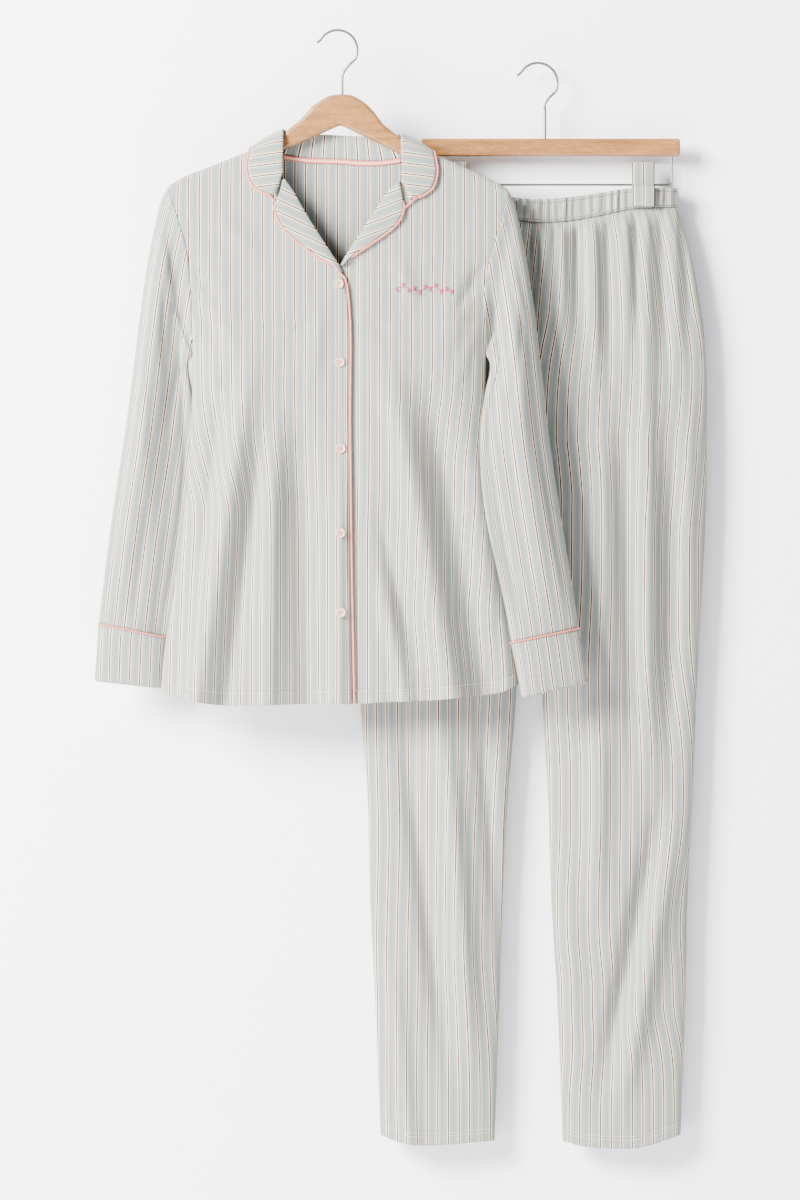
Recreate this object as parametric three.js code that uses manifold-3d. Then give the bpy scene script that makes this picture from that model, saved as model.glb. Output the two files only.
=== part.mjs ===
// Striped pyjama set: a long-sleeved shirt on a wooden hanger and, behind it, trousers hung by
// two loops from a straight bar hanger. Millimetres, +Z up, +Y towards the wall behind.
// The origin is the inside top of the shirt hanger's hook. Pieces are named for the wearer's
// sides, so the right ones lie at smaller X.

import * as THREE from 'three';
import { mergeVertices } from 'three/addons/utils/BufferGeometryUtils.js';
import Module from 'manifold-3d';

// Cloth
const WALL = 1.4;
const SEAM = 0.3;
const LAYER_LIFT = 2.6;
const PIPING_RADIUS = 1.3;
const CUFF_PIPING_RADIUS = 0.9;

// Shirt body, half a garment's depth from the hanger's plane
const NECK_CENTRE_X = 5.5;
const NECK_HALF = 85.5;
const RIDGE_RADIUS = 7;
const RIDGE_LEAN = 0.92;
const SETTLE_LENGTH = 70;
const SIDE_ROUND = 85;
const UNDERARM_Z = -366;
const UNDERLAP = 3;

const COLLAR_SEAM = 0.7;

// Buttons, hooks and wood
const BUTTON_RADIUS = 5.8;
const BUTTON_THICK = 2.6;
const HOOK_WIRE = 1.6;
const HOOK_RING = 22.9;
const FRAME_WIRE = 1.2;
const WOOD_THICK = 11.2;
const WOOD_ROUND = 4.8;
const WOOD_DROP = 2.1;
const BAR_THICK = 13;
const BAR_ROUND = 2;
const DRILL_GAP = 0.3;

// Trousers
const TROUSER_Y = 44.7;
const WAIST_CENTRE_X = 245.2;
const WAIST_HALF = 146.3;
const WAIST_DEPTH = 11;
const GATHERS = 58;
const GATHER_HEIGHT = 1.5;
const CROTCH_Z = -478;
const LOOP_WIDTH = 26;
const LOOP_TOP = -147;
const LOOP_FOOT = -199;
const LOOP_OUT = 108.3;
const WIRE_Z = -173.1;
const WIRE_CORNER = 6;

const CLOTH_COLOUR = 0xd9dedb;
const PIPING_COLOUR = 0xeeb4a6;
const WOOD_COLOUR = 0xd8b284;
const STEEL_COLOUR = 0x9a9a98;
const BUTTON_COLOUR = 0xefdcd2;

// Shoulder line over the hanger, carried on inward above the neck
const RIDGE = [
  { x: -194, z: -178 }, { x: -175, z: -167 }, { x: -156, z: -159.6 }, { x: -97, z: -136 },
  { x: -45, z: -114 }, { x: 4, z: -95 }, { x: 55, z: -117 }, { x: 111, z: -142 },
  { x: 150, z: -159 }, { x: 183, z: -174 }, { x: 195, z: -182 },
];

// Outer edges of the body: real side seams below the underarm, the round of the chest above it
const SIDES = [
  { z: -780, right: -205, left: 212 }, { z: -758, right: -202.6, left: 210 },
  { z: -699, right: -196.7, left: 203 }, { z: -644, right: -187.8, left: 194 },
  { z: -540, right: -174.6, left: 180 }, { z: -435, right: -167.5, left: 171.5 },
  { z: UNDERARM_Z, right: -167, left: 171 }, { z: -300, right: -184, left: 188 },
  { z: -250, right: -206, left: 210 }, { z: -180, right: -262, left: 264 },
];

// Greatest half depth of the front and the back at each height
const DEPTHS = [
  { z: -780, front: 25, back: 21 }, { z: -600, front: 25, back: 21 },
  { z: -400, front: 24, back: 20 }, { z: -250, front: 21, back: 19 }, { z: -120, front: 18, back: 18 },
];

// Lower edge of the body
const HEM = [
  { x: -203, z: -758.7 }, { x: -165, z: -770 }, { x: -122, z: -775 }, { x: -39, z: -773 },
  { x: 20, z: -773 }, { x: 54, z: -771 }, { x: 106, z: -769 }, { x: 147, z: -765 },
  { x: 188, z: -760 }, { x: 210, z: -750 },
];

// Armhole seams
const ARMHOLES = [
  { z: UNDERARM_Z, right: -167, left: 171 }, { z: -330, right: -167.4, left: 169 },
  { z: -295, right: -168.5, left: 168.5 }, { z: -251, right: -173, left: 178 },
  { z: -218, right: -182, left: 188 }, { z: -190, right: -191.5, left: 194 },
  { z: -178, right: -194, left: 195.4 },
];

// Front edges below the underarm line; the right front lies over the left one
const FRONT_EDGES = [
  { z: -780, right: 18.4, left: -12 }, { z: -618, right: 15.4, left: -12 },
  { z: -447, right: 13.4, left: -12 }, { z: UNDERARM_Z, right: 14, left: -12 },
];

// Rows of cloth above the underarm: the angle round the armhole, and the front edges' points
const UPPER_ROWS = [
  { angle: 180, rightX: 14, rightZ: -366, leftX: -12, leftZ: -366 },
  { angle: 167, rightX: 13.4, rightZ: -335, leftX: -12, leftZ: -335 },
  { angle: 152, rightX: 10.6, rightZ: -299, leftX: -7, leftZ: -297 },
  { angle: 144, rightX: 7.2, rightZ: -284.5, leftX: 1, leftZ: -280 },
  { angle: 135, rightX: 2, rightZ: -274, leftX: 8, leftZ: -266 },
  { angle: 115, rightX: -18, rightZ: -243, leftX: 25, leftZ: -239 },
  { angle: 95, rightX: -37, rightZ: -213, leftX: 44, leftZ: -210 },
  { angle: 75, rightX: -53.5, rightZ: -184, leftX: 60, leftZ: -186 },
  { angle: 60, rightX: -64.5, rightZ: -169, leftX: 74, leftZ: -171 },
  { angle: 36, rightX: -72, rightZ: -150, leftX: 82, leftZ: -154 },
  { angle: 22, rightX: -78, rightZ: -136, leftX: 89, leftZ: -140 },
  { angle: 13, rightX: -79.4, rightZ: -132, leftX: 90.4, leftZ: -136 },
  { angle: 6, rightX: -79.8, rightZ: -130, leftX: 90.8, leftZ: -133.8 },
  { angle: 0, rightX: -80, rightZ: -129, leftX: 91, leftZ: -133 },
];
const LOWER_ROWS = [0, 0.07, 0.22, 0.38, 0.55, 0.74, 0.93];

// Back neckline: how far below the shoulder line it is cut, by the distance from its centre,
// and the collar's turn there; it first runs straight back over the hanger
const NECKLINE = [
  { out: 0, drop: 57, turn: 0 }, { out: 20, drop: 50, turn: 0.2 }, { out: 40, drop: 38, turn: 0.42 },
  { out: 58, drop: 28, turn: 0.6 }, { out: 74, drop: 18, turn: 0.77 }, { out: 83.5, drop: 10, turn: 0.86 },
  { out: 84.9, drop: 3, turn: 0.93 }, { out: 85.5, drop: 0, turn: 1 },
];

// Hanging folds: soft ridges (+) and troughs (-) along a line from its top to its end;
// one that runs out keeps its height to the hem
const SHIRT_FRONT_FOLDS = [
  { topX: -118, topZ: -470, endX: -181, endZ: -775, width: 17, height: 7, runsOut: 1 },
  { topX: -98, topZ: -520, endX: -146, endZ: -778, width: 13, height: -6, runsOut: 1 },
  { topX: -74, topZ: -400, endX: -92, endZ: -778, width: 17, height: 6, runsOut: 1 },
  { topX: -40, topZ: -470, endX: -45, endZ: -778, width: 20, height: -7, runsOut: 1 },
  { topX: -14, topZ: -540, endX: -4, endZ: -778, width: 14, height: 4, runsOut: 1 },
  { topX: 30, topZ: -600, endX: 32, endZ: -778, width: 9, height: -3, runsOut: 1 },
  { topX: 48, topZ: -390, endX: 108, endZ: -778, width: 19, height: 6, runsOut: 1 },
  { topX: 74, topZ: -330, endX: 146, endZ: -772, width: 19, height: -6, runsOut: 1 },
  { topX: 118, topZ: -430, endX: 186, endZ: -768, width: 15, height: 4, runsOut: 1 },
  { topX: 24, topZ: -660, endX: 96, endZ: -752, width: 9, height: -3, runsOut: 0 },
  { topX: -150, topZ: -240, endX: -112, endZ: -420, width: 16, height: 2.5, runsOut: 0 },
  { topX: 150, topZ: -250, endX: 118, endZ: -400, width: 16, height: 2.5, runsOut: 0 },
];
const SHIRT_BACK_FOLDS = [
  { topX: -110, topZ: -420, endX: -152, endZ: -778, width: 22, height: 5, runsOut: 1 },
  { topX: -62, topZ: -360, endX: -84, endZ: -778, width: 20, height: -6, runsOut: 1 },
  { topX: -18, topZ: -430, endX: -22, endZ: -778, width: 24, height: 4.5, runsOut: 1 },
  { topX: 34, topZ: -380, endX: 44, endZ: -778, width: 20, height: -6, runsOut: 1 },
  { topX: 78, topZ: -450, endX: 104, endZ: -778, width: 22, height: 4, runsOut: 1 },
  { topX: 118, topZ: -400, endX: 158, endZ: -770, width: 18, height: -4, runsOut: 1 },
];

// Lapels: outer edge from the notch down to the foot of the V
const LAPELS = [
  { along: 0, rightX: -67, rightZ: -193, leftX: 74, leftZ: -193.4 },
  { along: 0.125, rightX: -70.5, rightZ: -200, leftX: 75.5, leftZ: -199 },
  { along: 0.25, rightX: -70, rightZ: -208, leftX: 74, leftZ: -210 },
  { along: 0.375, rightX: -65, rightZ: -220, leftX: 68, leftZ: -221 },
  { along: 0.5, rightX: -55, rightZ: -233, leftX: 56, leftZ: -232 },
  { along: 0.625, rightX: -41, rightZ: -245, leftX: 43, leftZ: -241 },
  { along: 0.75, rightX: -27, rightZ: -256, leftX: 32, leftZ: -248.5 },
  { along: 0.875, rightX: -14, rightZ: -264.5, leftX: 21.5, leftZ: -256 },
  { along: 1, rightX: -3, rightZ: -272, leftX: 13, leftZ: -263 },
];
const LAPEL_EDGE_LIFT = 4;

// Collar from the centre back (0) over the shoulder (1) to the front end (2): the fold and the
// outer edge, each by its distance from the neck's centre, its way over the shoulder and its lift
const COLLAR = [
  { turn: 0, foldOut: 0, foldWay: 28, foldLift: 3.5, edgeOut: 0, edgeWay: 79 },
  { turn: 0.25, foldOut: 22, foldWay: 20, foldLift: 3.5, edgeOut: 31, edgeWay: 66 },
  { turn: 0.5, foldOut: 43, foldWay: 12.5, foldLift: 4, edgeOut: 62, edgeWay: 50 },
  { turn: 0.75, foldOut: 59, foldWay: 6.5, foldLift: 5.5, edgeOut: 87, edgeWay: 31 },
  { turn: 1, foldOut: 67.5, foldWay: 0, foldLift: 7, edgeOut: 103, edgeWay: 0 },
  { turn: 1.15, foldOut: 68, foldWay: -8.6, foldLift: 6, edgeOut: 106, edgeWay: -9 },
  { turn: 1.3, foldOut: 68.3, foldWay: -17, foldLift: 5, edgeOut: 108, edgeWay: -16 },
  { turn: 1.5, foldOut: 68.6, foldWay: -27, foldLift: 4, edgeOut: 107.5, edgeWay: -27 },
  { turn: 1.7, foldOut: 69, foldWay: -34, foldLift: 3.6, edgeOut: 102.5, edgeWay: -41 },
  { turn: 1.85, foldOut: 68.4, foldWay: -40, foldLift: 3, edgeOut: 90, edgeWay: -54 },
  { turn: 2, foldOut: 68.6, foldWay: -43, foldLift: 2.7, edgeOut: 75.5, edgeWay: -63.5 },
];
const COLLAR_EDGE_LIFT = 4.2;
const COLLAR_BEND = 1.15;

// Sleeves: each row joins an outer and an inner point of the pressed tube
const SLEEVE_RIGHT = [
  { outX: -203, outY: 0.5, outZ: -196, inX: -169.6, inY: 0, inZ: -368, depth: 11 },
  { outX: -210, outY: 1, outZ: -226, inX: -171.6, inY: 0.6, inZ: -372, depth: 14 },
  { outX: -218, outY: 2, outZ: -266, inX: -172.6, inY: 2.4, inZ: -379, depth: 15 },
  { outX: -226, outY: 4, outZ: -320, inX: -171.6, inY: 7, inZ: -393, depth: 16 },
  { outX: -235, outY: 8, outZ: -390, inX: -167, inY: 14, inZ: -422, depth: 15 },
  { outX: -244.5, outY: 11, outZ: -460, inX: -163.5, inY: 19, inZ: -478, depth: 14 },
  { outX: -255, outY: 12, outZ: -528, inX: -168, inY: 21, inZ: -543, depth: 13 },
  { outX: -263.5, outY: 12, outZ: -588, inX: -177, inY: 21, inZ: -605, depth: 12 },
  { outX: -270, outY: 12, outZ: -640, inX: -187, inY: 20, inZ: -656, depth: 11.5 },
  { outX: -274.5, outY: 11, outZ: -681, inX: -195.5, inY: 19, inZ: -697, depth: 11 },
];
const SLEEVE_LEFT = [
  { outX: 203, outY: -0.5, outZ: -199, inX: 173.6, inY: 0, inZ: -368, depth: 11 },
  { outX: 211, outY: -1, outZ: -235, inX: 175.6, inY: -0.6, inZ: -372, depth: 14 },
  { outX: 218, outY: -2, outZ: -272, inX: 176.8, inY: -2.4, inZ: -379, depth: 15 },
  { outX: 226, outY: -4, outZ: -325, inX: 175.8, inY: -8, inZ: -393, depth: 16 },
  { outX: 234, outY: -7, outZ: -393, inX: 169, inY: -17, inZ: -424, depth: 15 },
  { outX: 241.5, outY: -9, outZ: -462, inX: 164, inY: -24, inZ: -482, depth: 14 },
  { outX: 252, outY: -10, outZ: -535, inX: 170, inY: -26, inZ: -552, depth: 13 },
  { outX: 262.5, outY: -10, outZ: -600, inX: 183, inY: -26, inZ: -615, depth: 12 },
  { outX: 270.5, outY: -10, outZ: -648, inX: 193, inY: -25, inZ: -662, depth: 11.5 },
  { outX: 276, outY: -10, outZ: -686, inX: 200, inY: -24, inZ: -702, depth: 11 },
];
const CUFF_RIGHT = [
  { outX: -274.6, outY: 11, outZ: -681.6, inX: -195.7, inY: 19, inZ: -697.6, depth: 11.2 },
  { outX: -278.6, outY: 11, outZ: -747, inX: -200, inY: 19, inZ: -756, depth: 11 },
];
const CUFF_LEFT = [
  { outX: 276.1, outY: -10, outZ: -686.6, inX: 200.2, inY: -24, inZ: -702.6, depth: 11.2 },
  { outX: 286.2, outY: -10, outZ: -749, inX: 211.4, inY: -24, inZ: -766, depth: 11 },
];

// Folds along a sleeve: angle round it at its first and last row, and where it fades
const SLEEVE_RIGHT_FOLDS = [
  { from: 0, to: 0.55, startAngle: 60, endAngle: 78, width: 20, height: 3.5 },
  { from: 0.1, to: 0.95, startAngle: 112, endAngle: 100, width: 20, height: -3.5 },
  { from: 0.45, to: 1, startAngle: 45, endAngle: 60, width: 16, height: 2.5 },
  { from: 0.1, to: 0.8, startAngle: 262, endAngle: 280, width: 22, height: -4 },
];
const SLEEVE_LEFT_FOLDS = [
  { from: 0, to: 0.85, startAngle: 105, endAngle: 62, width: 18, height: 4 },
  { from: 0, to: 0.6, startAngle: 138, endAngle: 120, width: 14, height: -4 },
  { from: 0.35, to: 1, startAngle: 88, endAngle: 100, width: 18, height: -3 },
  { from: 0.1, to: 0.8, startAngle: 250, endAngle: 275, width: 22, height: -4 },
];

// Trouser legs: outer and inner edges and the half depth at each height
const LEGS = [
  { z: -199, rightOut: 98.9, rightIn: 245, leftIn: 245, leftOut: 391.5, depth: 11 },
  { z: -240, rightOut: 86, rightIn: 242.5, leftIn: 242.5, leftOut: 404.5, depth: 14.5 },
  { z: -320, rightOut: 63, rightIn: 236.5, leftIn: 236.5, leftOut: 420, depth: 17 },
  { z: -380, rightOut: 50, rightIn: 231, leftIn: 231, leftOut: 425.5, depth: 18 },
  { z: -440, rightOut: 40, rightIn: 225, leftIn: 225, leftOut: 426.5, depth: 18 },
  { z: -470, rightOut: 36, rightIn: 221.6, leftIn: 221.6, leftOut: 426.5, depth: 18 },
  { z: -488, rightOut: 34, rightIn: 218.6, leftIn: 223.4, leftOut: 426.3, depth: 18 },
  { z: -540, rightOut: 30, rightIn: 214.5, leftIn: 225.5, leftOut: 425.5, depth: 18 },
  { z: -640, rightOut: 27, rightIn: 210, leftIn: 230.5, leftOut: 421, depth: 17 },
  { z: -762, rightOut: 26.5, rightIn: 206, leftIn: 237, leftOut: 414.6, depth: 16 },
  { z: -884, rightOut: 35, rightIn: 196, leftIn: 243.6, leftOut: 409.8, depth: 15 },
  { z: -1000, rightOut: 38, rightIn: 190, leftIn: 247.5, leftOut: 404, depth: 15 },
  { z: -1120, rightOut: 44, rightIn: 186.4, leftIn: 254.7, leftOut: 401.4, depth: 14 },
  { z: -1280, rightOut: 50, rightIn: 181, leftIn: 260.6, leftOut: 396, depth: 13 },
];
const WAIST_EDGE = [
  { x: 97, top: -177.4, seam: -199 }, { x: 150, top: -178, seam: -201.4 },
  { x: 182, top: -183, seam: -208 }, { x: 210, top: -189.4, seam: -214 },
  { x: 240, top: -190.4, seam: -217 }, { x: 274, top: -187.6, seam: -214 },
  { x: 305, top: -183, seam: -208.6 }, { x: 340, top: -178, seam: -201.4 },
  { x: 393, top: -177.4, seam: -198.6 },
];
const LEG_HEMS = [
  { x: 48, z: -1272 }, { x: 74, z: -1281 }, { x: 103.5, z: -1284 }, { x: 181, z: -1279 },
  { x: 261, z: -1280 }, { x: 282, z: -1285 }, { x: 322, z: -1287.5 }, { x: 352, z: -1286 },
  { x: 397, z: -1272 },
];
const LEG_FRONT_FOLDS = [
  { topX: 258, topZ: -200, endX: 262, endZ: -520, width: 9, height: 3, runsOut: 0 },
  { topX: 293, topZ: -200, endX: 300, endZ: -620, width: 10, height: 3.5, runsOut: 0 },
  { topX: 327, topZ: -195, endX: 340, endZ: -560, width: 9, height: 3, runsOut: 0 },
  { topX: 354, topZ: -190, endX: 380, endZ: -600, width: 10, height: 4, runsOut: 0 },
  { topX: 385, topZ: -185, endX: 408, endZ: -460, width: 8, height: 2.5, runsOut: 0 },
  { topX: 310, topZ: -200, endX: 320, endZ: -700, width: 9, height: -3, runsOut: 0 },
  { topX: 292, topZ: -560, endX: 288, endZ: -1290, width: 15, height: 5, runsOut: 1 },
  { topX: 322, topZ: -780, endX: 314, endZ: -1290, width: 13, height: -4, runsOut: 1 },
  { topX: 384, topZ: -940, endX: 300, endZ: -1270, width: 14, height: 4, runsOut: 0 },
  { topX: 372, topZ: -620, endX: 372, endZ: -1290, width: 16, height: -4, runsOut: 1 },
  { topX: 112, topZ: -600, endX: 112, endZ: -1290, width: 15, height: 5, runsOut: 1 },
  { topX: 72, topZ: -560, endX: 58, endZ: -1290, width: 13, height: -4, runsOut: 1 },
  { topX: 160, topZ: -700, endX: 156, endZ: -1290, width: 13, height: -4.5, runsOut: 1 },
  { topX: 130, topZ: -200, endX: 96, endZ: -560, width: 12, height: 3, runsOut: 0 },
  { topX: 180, topZ: -205, endX: 160, endZ: -620, width: 12, height: 3, runsOut: 0 },
];
const LEG_BACK_FOLDS = [
  { topX: 120, topZ: -195, endX: 84, endZ: -520, width: 14, height: 3.5, runsOut: 0 },
  { topX: 168, topZ: -200, endX: 150, endZ: -600, width: 14, height: 3.5, runsOut: 0 },
  { topX: 212, topZ: -205, endX: 196, endZ: -470, width: 11, height: 3, runsOut: 0 },
  { topX: 276, topZ: -205, endX: 282, endZ: -500, width: 12, height: 3, runsOut: 0 },
  { topX: 322, topZ: -200, endX: 336, endZ: -620, width: 13, height: 3.5, runsOut: 0 },
  { topX: 366, topZ: -195, endX: 394, endZ: -560, width: 12, height: 3.5, runsOut: 0 },
  { topX: 100, topZ: -560, endX: 90, endZ: -1290, width: 18, height: 4.5, runsOut: 1 },
  { topX: 146, topZ: -700, endX: 134, endZ: -1290, width: 15, height: -4, runsOut: 1 },
  { topX: 340, topZ: -620, endX: 334, endZ: -1290, width: 18, height: 4.5, runsOut: 1 },
  { topX: 290, topZ: -800, endX: 292, endZ: -1290, width: 14, height: -4, runsOut: 1 },
];

// Shirt hanger's outline inside the neck, and its underside
const WOOD_NECK = [
  { x: -73, z: -126.6 }, { x: -62, z: -117.8 }, { x: -59, z: -114.2 }, { x: -46, z: -104 },
  { x: -36.5, z: -94.4 }, { x: -26.8, z: -83.8 }, { x: -12.3, z: -75 }, { x: -3, z: -72.4 },
  { x: 12, z: -72.4 }, { x: 19, z: -74.2 }, { x: 31.3, z: -81.4 }, { x: 42.6, z: -92.7 },
  { x: 52.2, z: -105.7 }, { x: 62, z: -113.7 }, { x: 74, z: -122.8 }, { x: 84, z: -130.4 },
];
const WOOD_UNDER = [
  { x: 186, z: -190 }, { x: 130, z: -167 }, { x: 73.6, z: -142.7 }, { x: 45, z: -124 },
  { x: 22, z: -110.5 }, { x: 4.4, z: -107.3 }, { x: -13, z: -110.5 }, { x: -36, z: -122 },
  { x: -63, z: -138.7 }, { x: -120, z: -162.5 }, { x: -184, z: -188 },
];

// Straight bar of the trouser hanger, its wire's two uprights and both hooks
const BAR = { left: 96, right: 396, top: -120, bottom: -140, corner: 3 };
const WIRE_UPRIGHTS = [105.6, 386.4];
const WIRE_TOP = -130.5;
const HOOKS = {
  shirt: {
    ringX: 0, ringZ: HOOK_WIRE - HOOK_RING, y: 0, bendX: 6.8, bendZ: -46.8, shankX: 5.6, endZ: -89.5,
  },
  trousers: {
    ringX: 231.3, ringZ: -55.1, y: TROUSER_Y, bendX: 239.2, bendZ: -80, shankX: 239.8, endZ: -131.5,
  },
};

// Small sums that everything uses

const clamp = (value, low, high) => Math.min(high, Math.max(low, value));
const mix = (a, b, t) => a + (b - a) * t;
const vector = (x, y, z) => new THREE.Vector3(x, y, z);
const radians = (degrees) => degrees * Math.PI / 180;

function ease(t) {
  const held = clamp(t, 0, 1);
  return held * held * (3 - 2 * held);
}

// A table's column at a key, on a smooth curve through its rows
function follow(table, key, column, at) {
  const last = table.length - 1;
  const direction = Math.sign(table[last][key] - table[0][key]);
  let i = 0;
  while (i < last - 1 && (at - table[i + 1][key]) * direction > 0) i += 1;
  const slope = (k) => {
    const before = table[Math.max(0, k - 1)];
    const after = table[Math.min(last, k + 1)];
    return (after[column] - before[column]) / (after[key] - before[key]);
  };
  const span = table[i + 1][key] - table[i][key];
  const t = clamp((at - table[i][key]) / span, 0, 1);
  const rise = t * t * (3 - 2 * t);
  const bendIn = t * (1 - t) * (1 - t) * span * slope(i);
  const bendOut = t * t * (t - 1) * span * slope(i + 1);
  return mix(table[i][column], table[i + 1][column], rise) + bendIn + bendOut;
}

// Height that the folds add to a face at one point of the front view
function foldHeight(folds, x, z) {
  return folds.reduce((sum, fold) => {
    const lineX = fold.endX - fold.topX;
    const lineZ = fold.endZ - fold.topZ;
    const length = Math.hypot(lineX, lineZ);
    const along = ((x - fold.topX) * lineX + (z - fold.topZ) * lineZ) / (length * length);
    const away = ((x - fold.topX) * lineZ - (z - fold.topZ) * lineX) / length;
    const fadeEnd = fold.runsOut ? 1 : ease((1 - along) / 0.4);
    const strength = ease(along / 0.4) * fadeEnd;
    return sum + fold.height * strength * Math.exp(-((away / fold.width) ** 2));
  }, 0);
}

// Walls of cloth

// Normals of a grid of points; a closed grid's rows are rings
function gridNormals(rows, closed) {
  return rows.map((row, i) => row.map((point, j) => {
    const last = row.length - 1;
    const above = rows[Math.min(i + 1, rows.length - 1)][j];
    const below = rows[Math.max(i - 1, 0)][j];
    const before = closed ? row[(j + last) % row.length] : row[Math.max(j - 1, 0)];
    const after = closed ? row[(j + 1) % row.length] : row[Math.min(j + 1, last)];
    return after.clone().sub(before).cross(above.clone().sub(below)).normalize();
  }));
}

// Turns all the normals of a grid over where the one at (i, j) doesn't look along `outward`
function faceOut(normals, i, j, outward) {
  if (normals[i][j].dot(outward) < 0) {
    normals.forEach((row) => row.forEach((normal) => normal.negate()));
  }
}

// Closed solid of a wall: a grid of middle points, thickened both ways along its normals
function wallSolid(rows, normals, thickness, closed) {
  const positions = [];
  const index = [];
  const across = rows[0].length;
  const top = rows.length - 1;
  const side = across - 1;
  const spans = closed ? across : side;
  const at = (face, i, j) => (face * rows.length + i) * across + (j % across);
  const quad = (a, b, c, d) => index.push(a, b, c, a, c, d);
  [0.5, -0.5].forEach((half) => {
    rows.forEach((row, i) => row.forEach((point, j) => {
      const moved = normals[i][j].clone().multiplyScalar(half * thickness).add(point);
      positions.push(moved.x, moved.y, moved.z);
    }));
  });
  for (let j = 0; j < spans; j += 1) {
    for (let i = 0; i < top; i += 1) {
      quad(at(0, i, j), at(0, i, j + 1), at(0, i + 1, j + 1), at(0, i + 1, j));
      quad(at(1, i + 1, j), at(1, i + 1, j + 1), at(1, i, j + 1), at(1, i, j));
    }
    quad(at(1, 0, j), at(1, 0, j + 1), at(0, 0, j + 1), at(0, 0, j));
    quad(at(0, top, j), at(0, top, j + 1), at(1, top, j + 1), at(1, top, j));
  }
  for (let i = 0; i < top && !closed; i += 1) {
    quad(at(0, i, 0), at(0, i + 1, 0), at(1, i + 1, 0), at(1, i, 0));
    quad(at(1, i, side), at(1, i + 1, side), at(0, i + 1, side), at(0, i, side));
  }
  return solidGeometry(positions, index);
}

// Geometry with its faces pointing out
function solidGeometry(positions, index) {
  const point = (k) => vector(positions[3 * k], positions[3 * k + 1], positions[3 * k + 2]);
  let volume = 0;
  for (let k = 0; k < index.length; k += 3) {
    volume += point(index[k]).dot(point(index[k + 1]).cross(point(index[k + 2])));
  }
  const turned = volume < 0 ? index.slice().reverse() : index;
  const geometry = new THREE.BufferGeometry();
  geometry.setAttribute('position', new THREE.Float32BufferAttribute(positions, 3));
  geometry.setIndex(turned);
  geometry.computeVertexNormals();
  return geometry;
}

// Round cord through a list of points, its ends closed flat, or joined where it is a ring
function cordSolid(points, radius, sides, ring) {
  const positions = [];
  const index = [];
  const count = points.length;
  const wrap = (k) => (ring ? (k + count) % count : clamp(k, 0, count - 1));
  const tangents = points.map((point, k) => (
    points[wrap(k + 1)].clone().sub(points[wrap(k - 1)]).normalize()
  ));
  const start = Math.abs(tangents[0].y) < 0.7 ? vector(0, 1, 0) : vector(1, 0, 0);
  let across = start.sub(tangents[0].clone().multiplyScalar(start.dot(tangents[0]))).normalize();
  points.forEach((point, k) => {
    across = across.clone().sub(tangents[k].clone().multiplyScalar(across.dot(tangents[k]))).normalize();
    const up = tangents[k].clone().cross(across);
    for (let s = 0; s < sides; s += 1) {
      const angle = 2 * Math.PI * s / sides;
      const p = point.clone();
      p.addScaledVector(across, radius * Math.cos(angle));
      p.addScaledVector(up, radius * Math.sin(angle));
      positions.push(p.x, p.y, p.z);
    }
  });
  const at = (k, s) => wrap(k) * sides + (s % sides);
  const spans = ring ? count : count - 1;
  for (let k = 0; k < spans; k += 1) {
    for (let s = 0; s < sides; s += 1) {
      index.push(at(k, s), at(k + 1, s), at(k + 1, s + 1), at(k, s), at(k + 1, s + 1), at(k, s + 1));
    }
  }
  for (let s = 1; s < sides - 1 && !ring; s += 1) {
    index.push(at(0, 0), at(0, s), at(0, s + 1));
    index.push(at(count - 1, 0), at(count - 1, s + 1), at(count - 1, s));
  }
  return solidGeometry(positions, index);
}

// Shirt body

const ridgeZ = (x) => follow(RIDGE, 'x', 'z', x);
const foldsOf = { front: SHIRT_FRONT_FOLDS, back: SHIRT_BACK_FOLDS };

// Half depth of the front or the back at a point of the front view
function shirtDepth(face, x, z) {
  const below = Math.max(0, (ridgeZ(x) - z) * RIDGE_LEAN);
  const full = follow(DEPTHS, 'z', face, z);
  const sunk = below - RIDGE_RADIUS;
  const rise = sunk < 0
    ? Math.sqrt(RIDGE_RADIUS ** 2 - sunk ** 2)
    : RIDGE_RADIUS + (full - RIDGE_RADIUS) * (1 - Math.exp(-sunk / SETTLE_LENGTH));
  const rightEdge = x - follow(SIDES, 'z', 'right', z);
  const leftEdge = follow(SIDES, 'z', 'left', z) - x;
  const inside = clamp(Math.min(rightEdge, leftEdge) / SIDE_ROUND, 0, 1);
  const round = Math.sqrt(1 - (1 - inside) ** 2);
  const folds = foldHeight(foldsOf[face], x, z) * ease(inside * 2.2) * ease(below / 60);
  return rise * round + folds;
}

// Point on or above the shirt: `way` runs over the shoulder, forward of it negative
function drape(x, way, lift) {
  const quarter = RIDGE_RADIUS * Math.PI / 2;
  const along = Math.abs(way);
  const towards = way < 0 ? -1 : 1;
  if (along < quarter) {
    const angle = along / RIDGE_RADIUS;
    const reach = RIDGE_RADIUS + lift;
    const drop = RIDGE_RADIUS - reach * Math.cos(angle);
    return vector(x, towards * reach * Math.sin(angle), ridgeZ(x) - drop / RIDGE_LEAN);
  }
  const below = RIDGE_RADIUS + along - quarter;
  const z = ridgeZ(x) - below / RIDGE_LEAN;
  return vector(x, towards * (shirtDepth(way < 0 ? 'front' : 'back', x, z) + lift), z);
}

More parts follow.
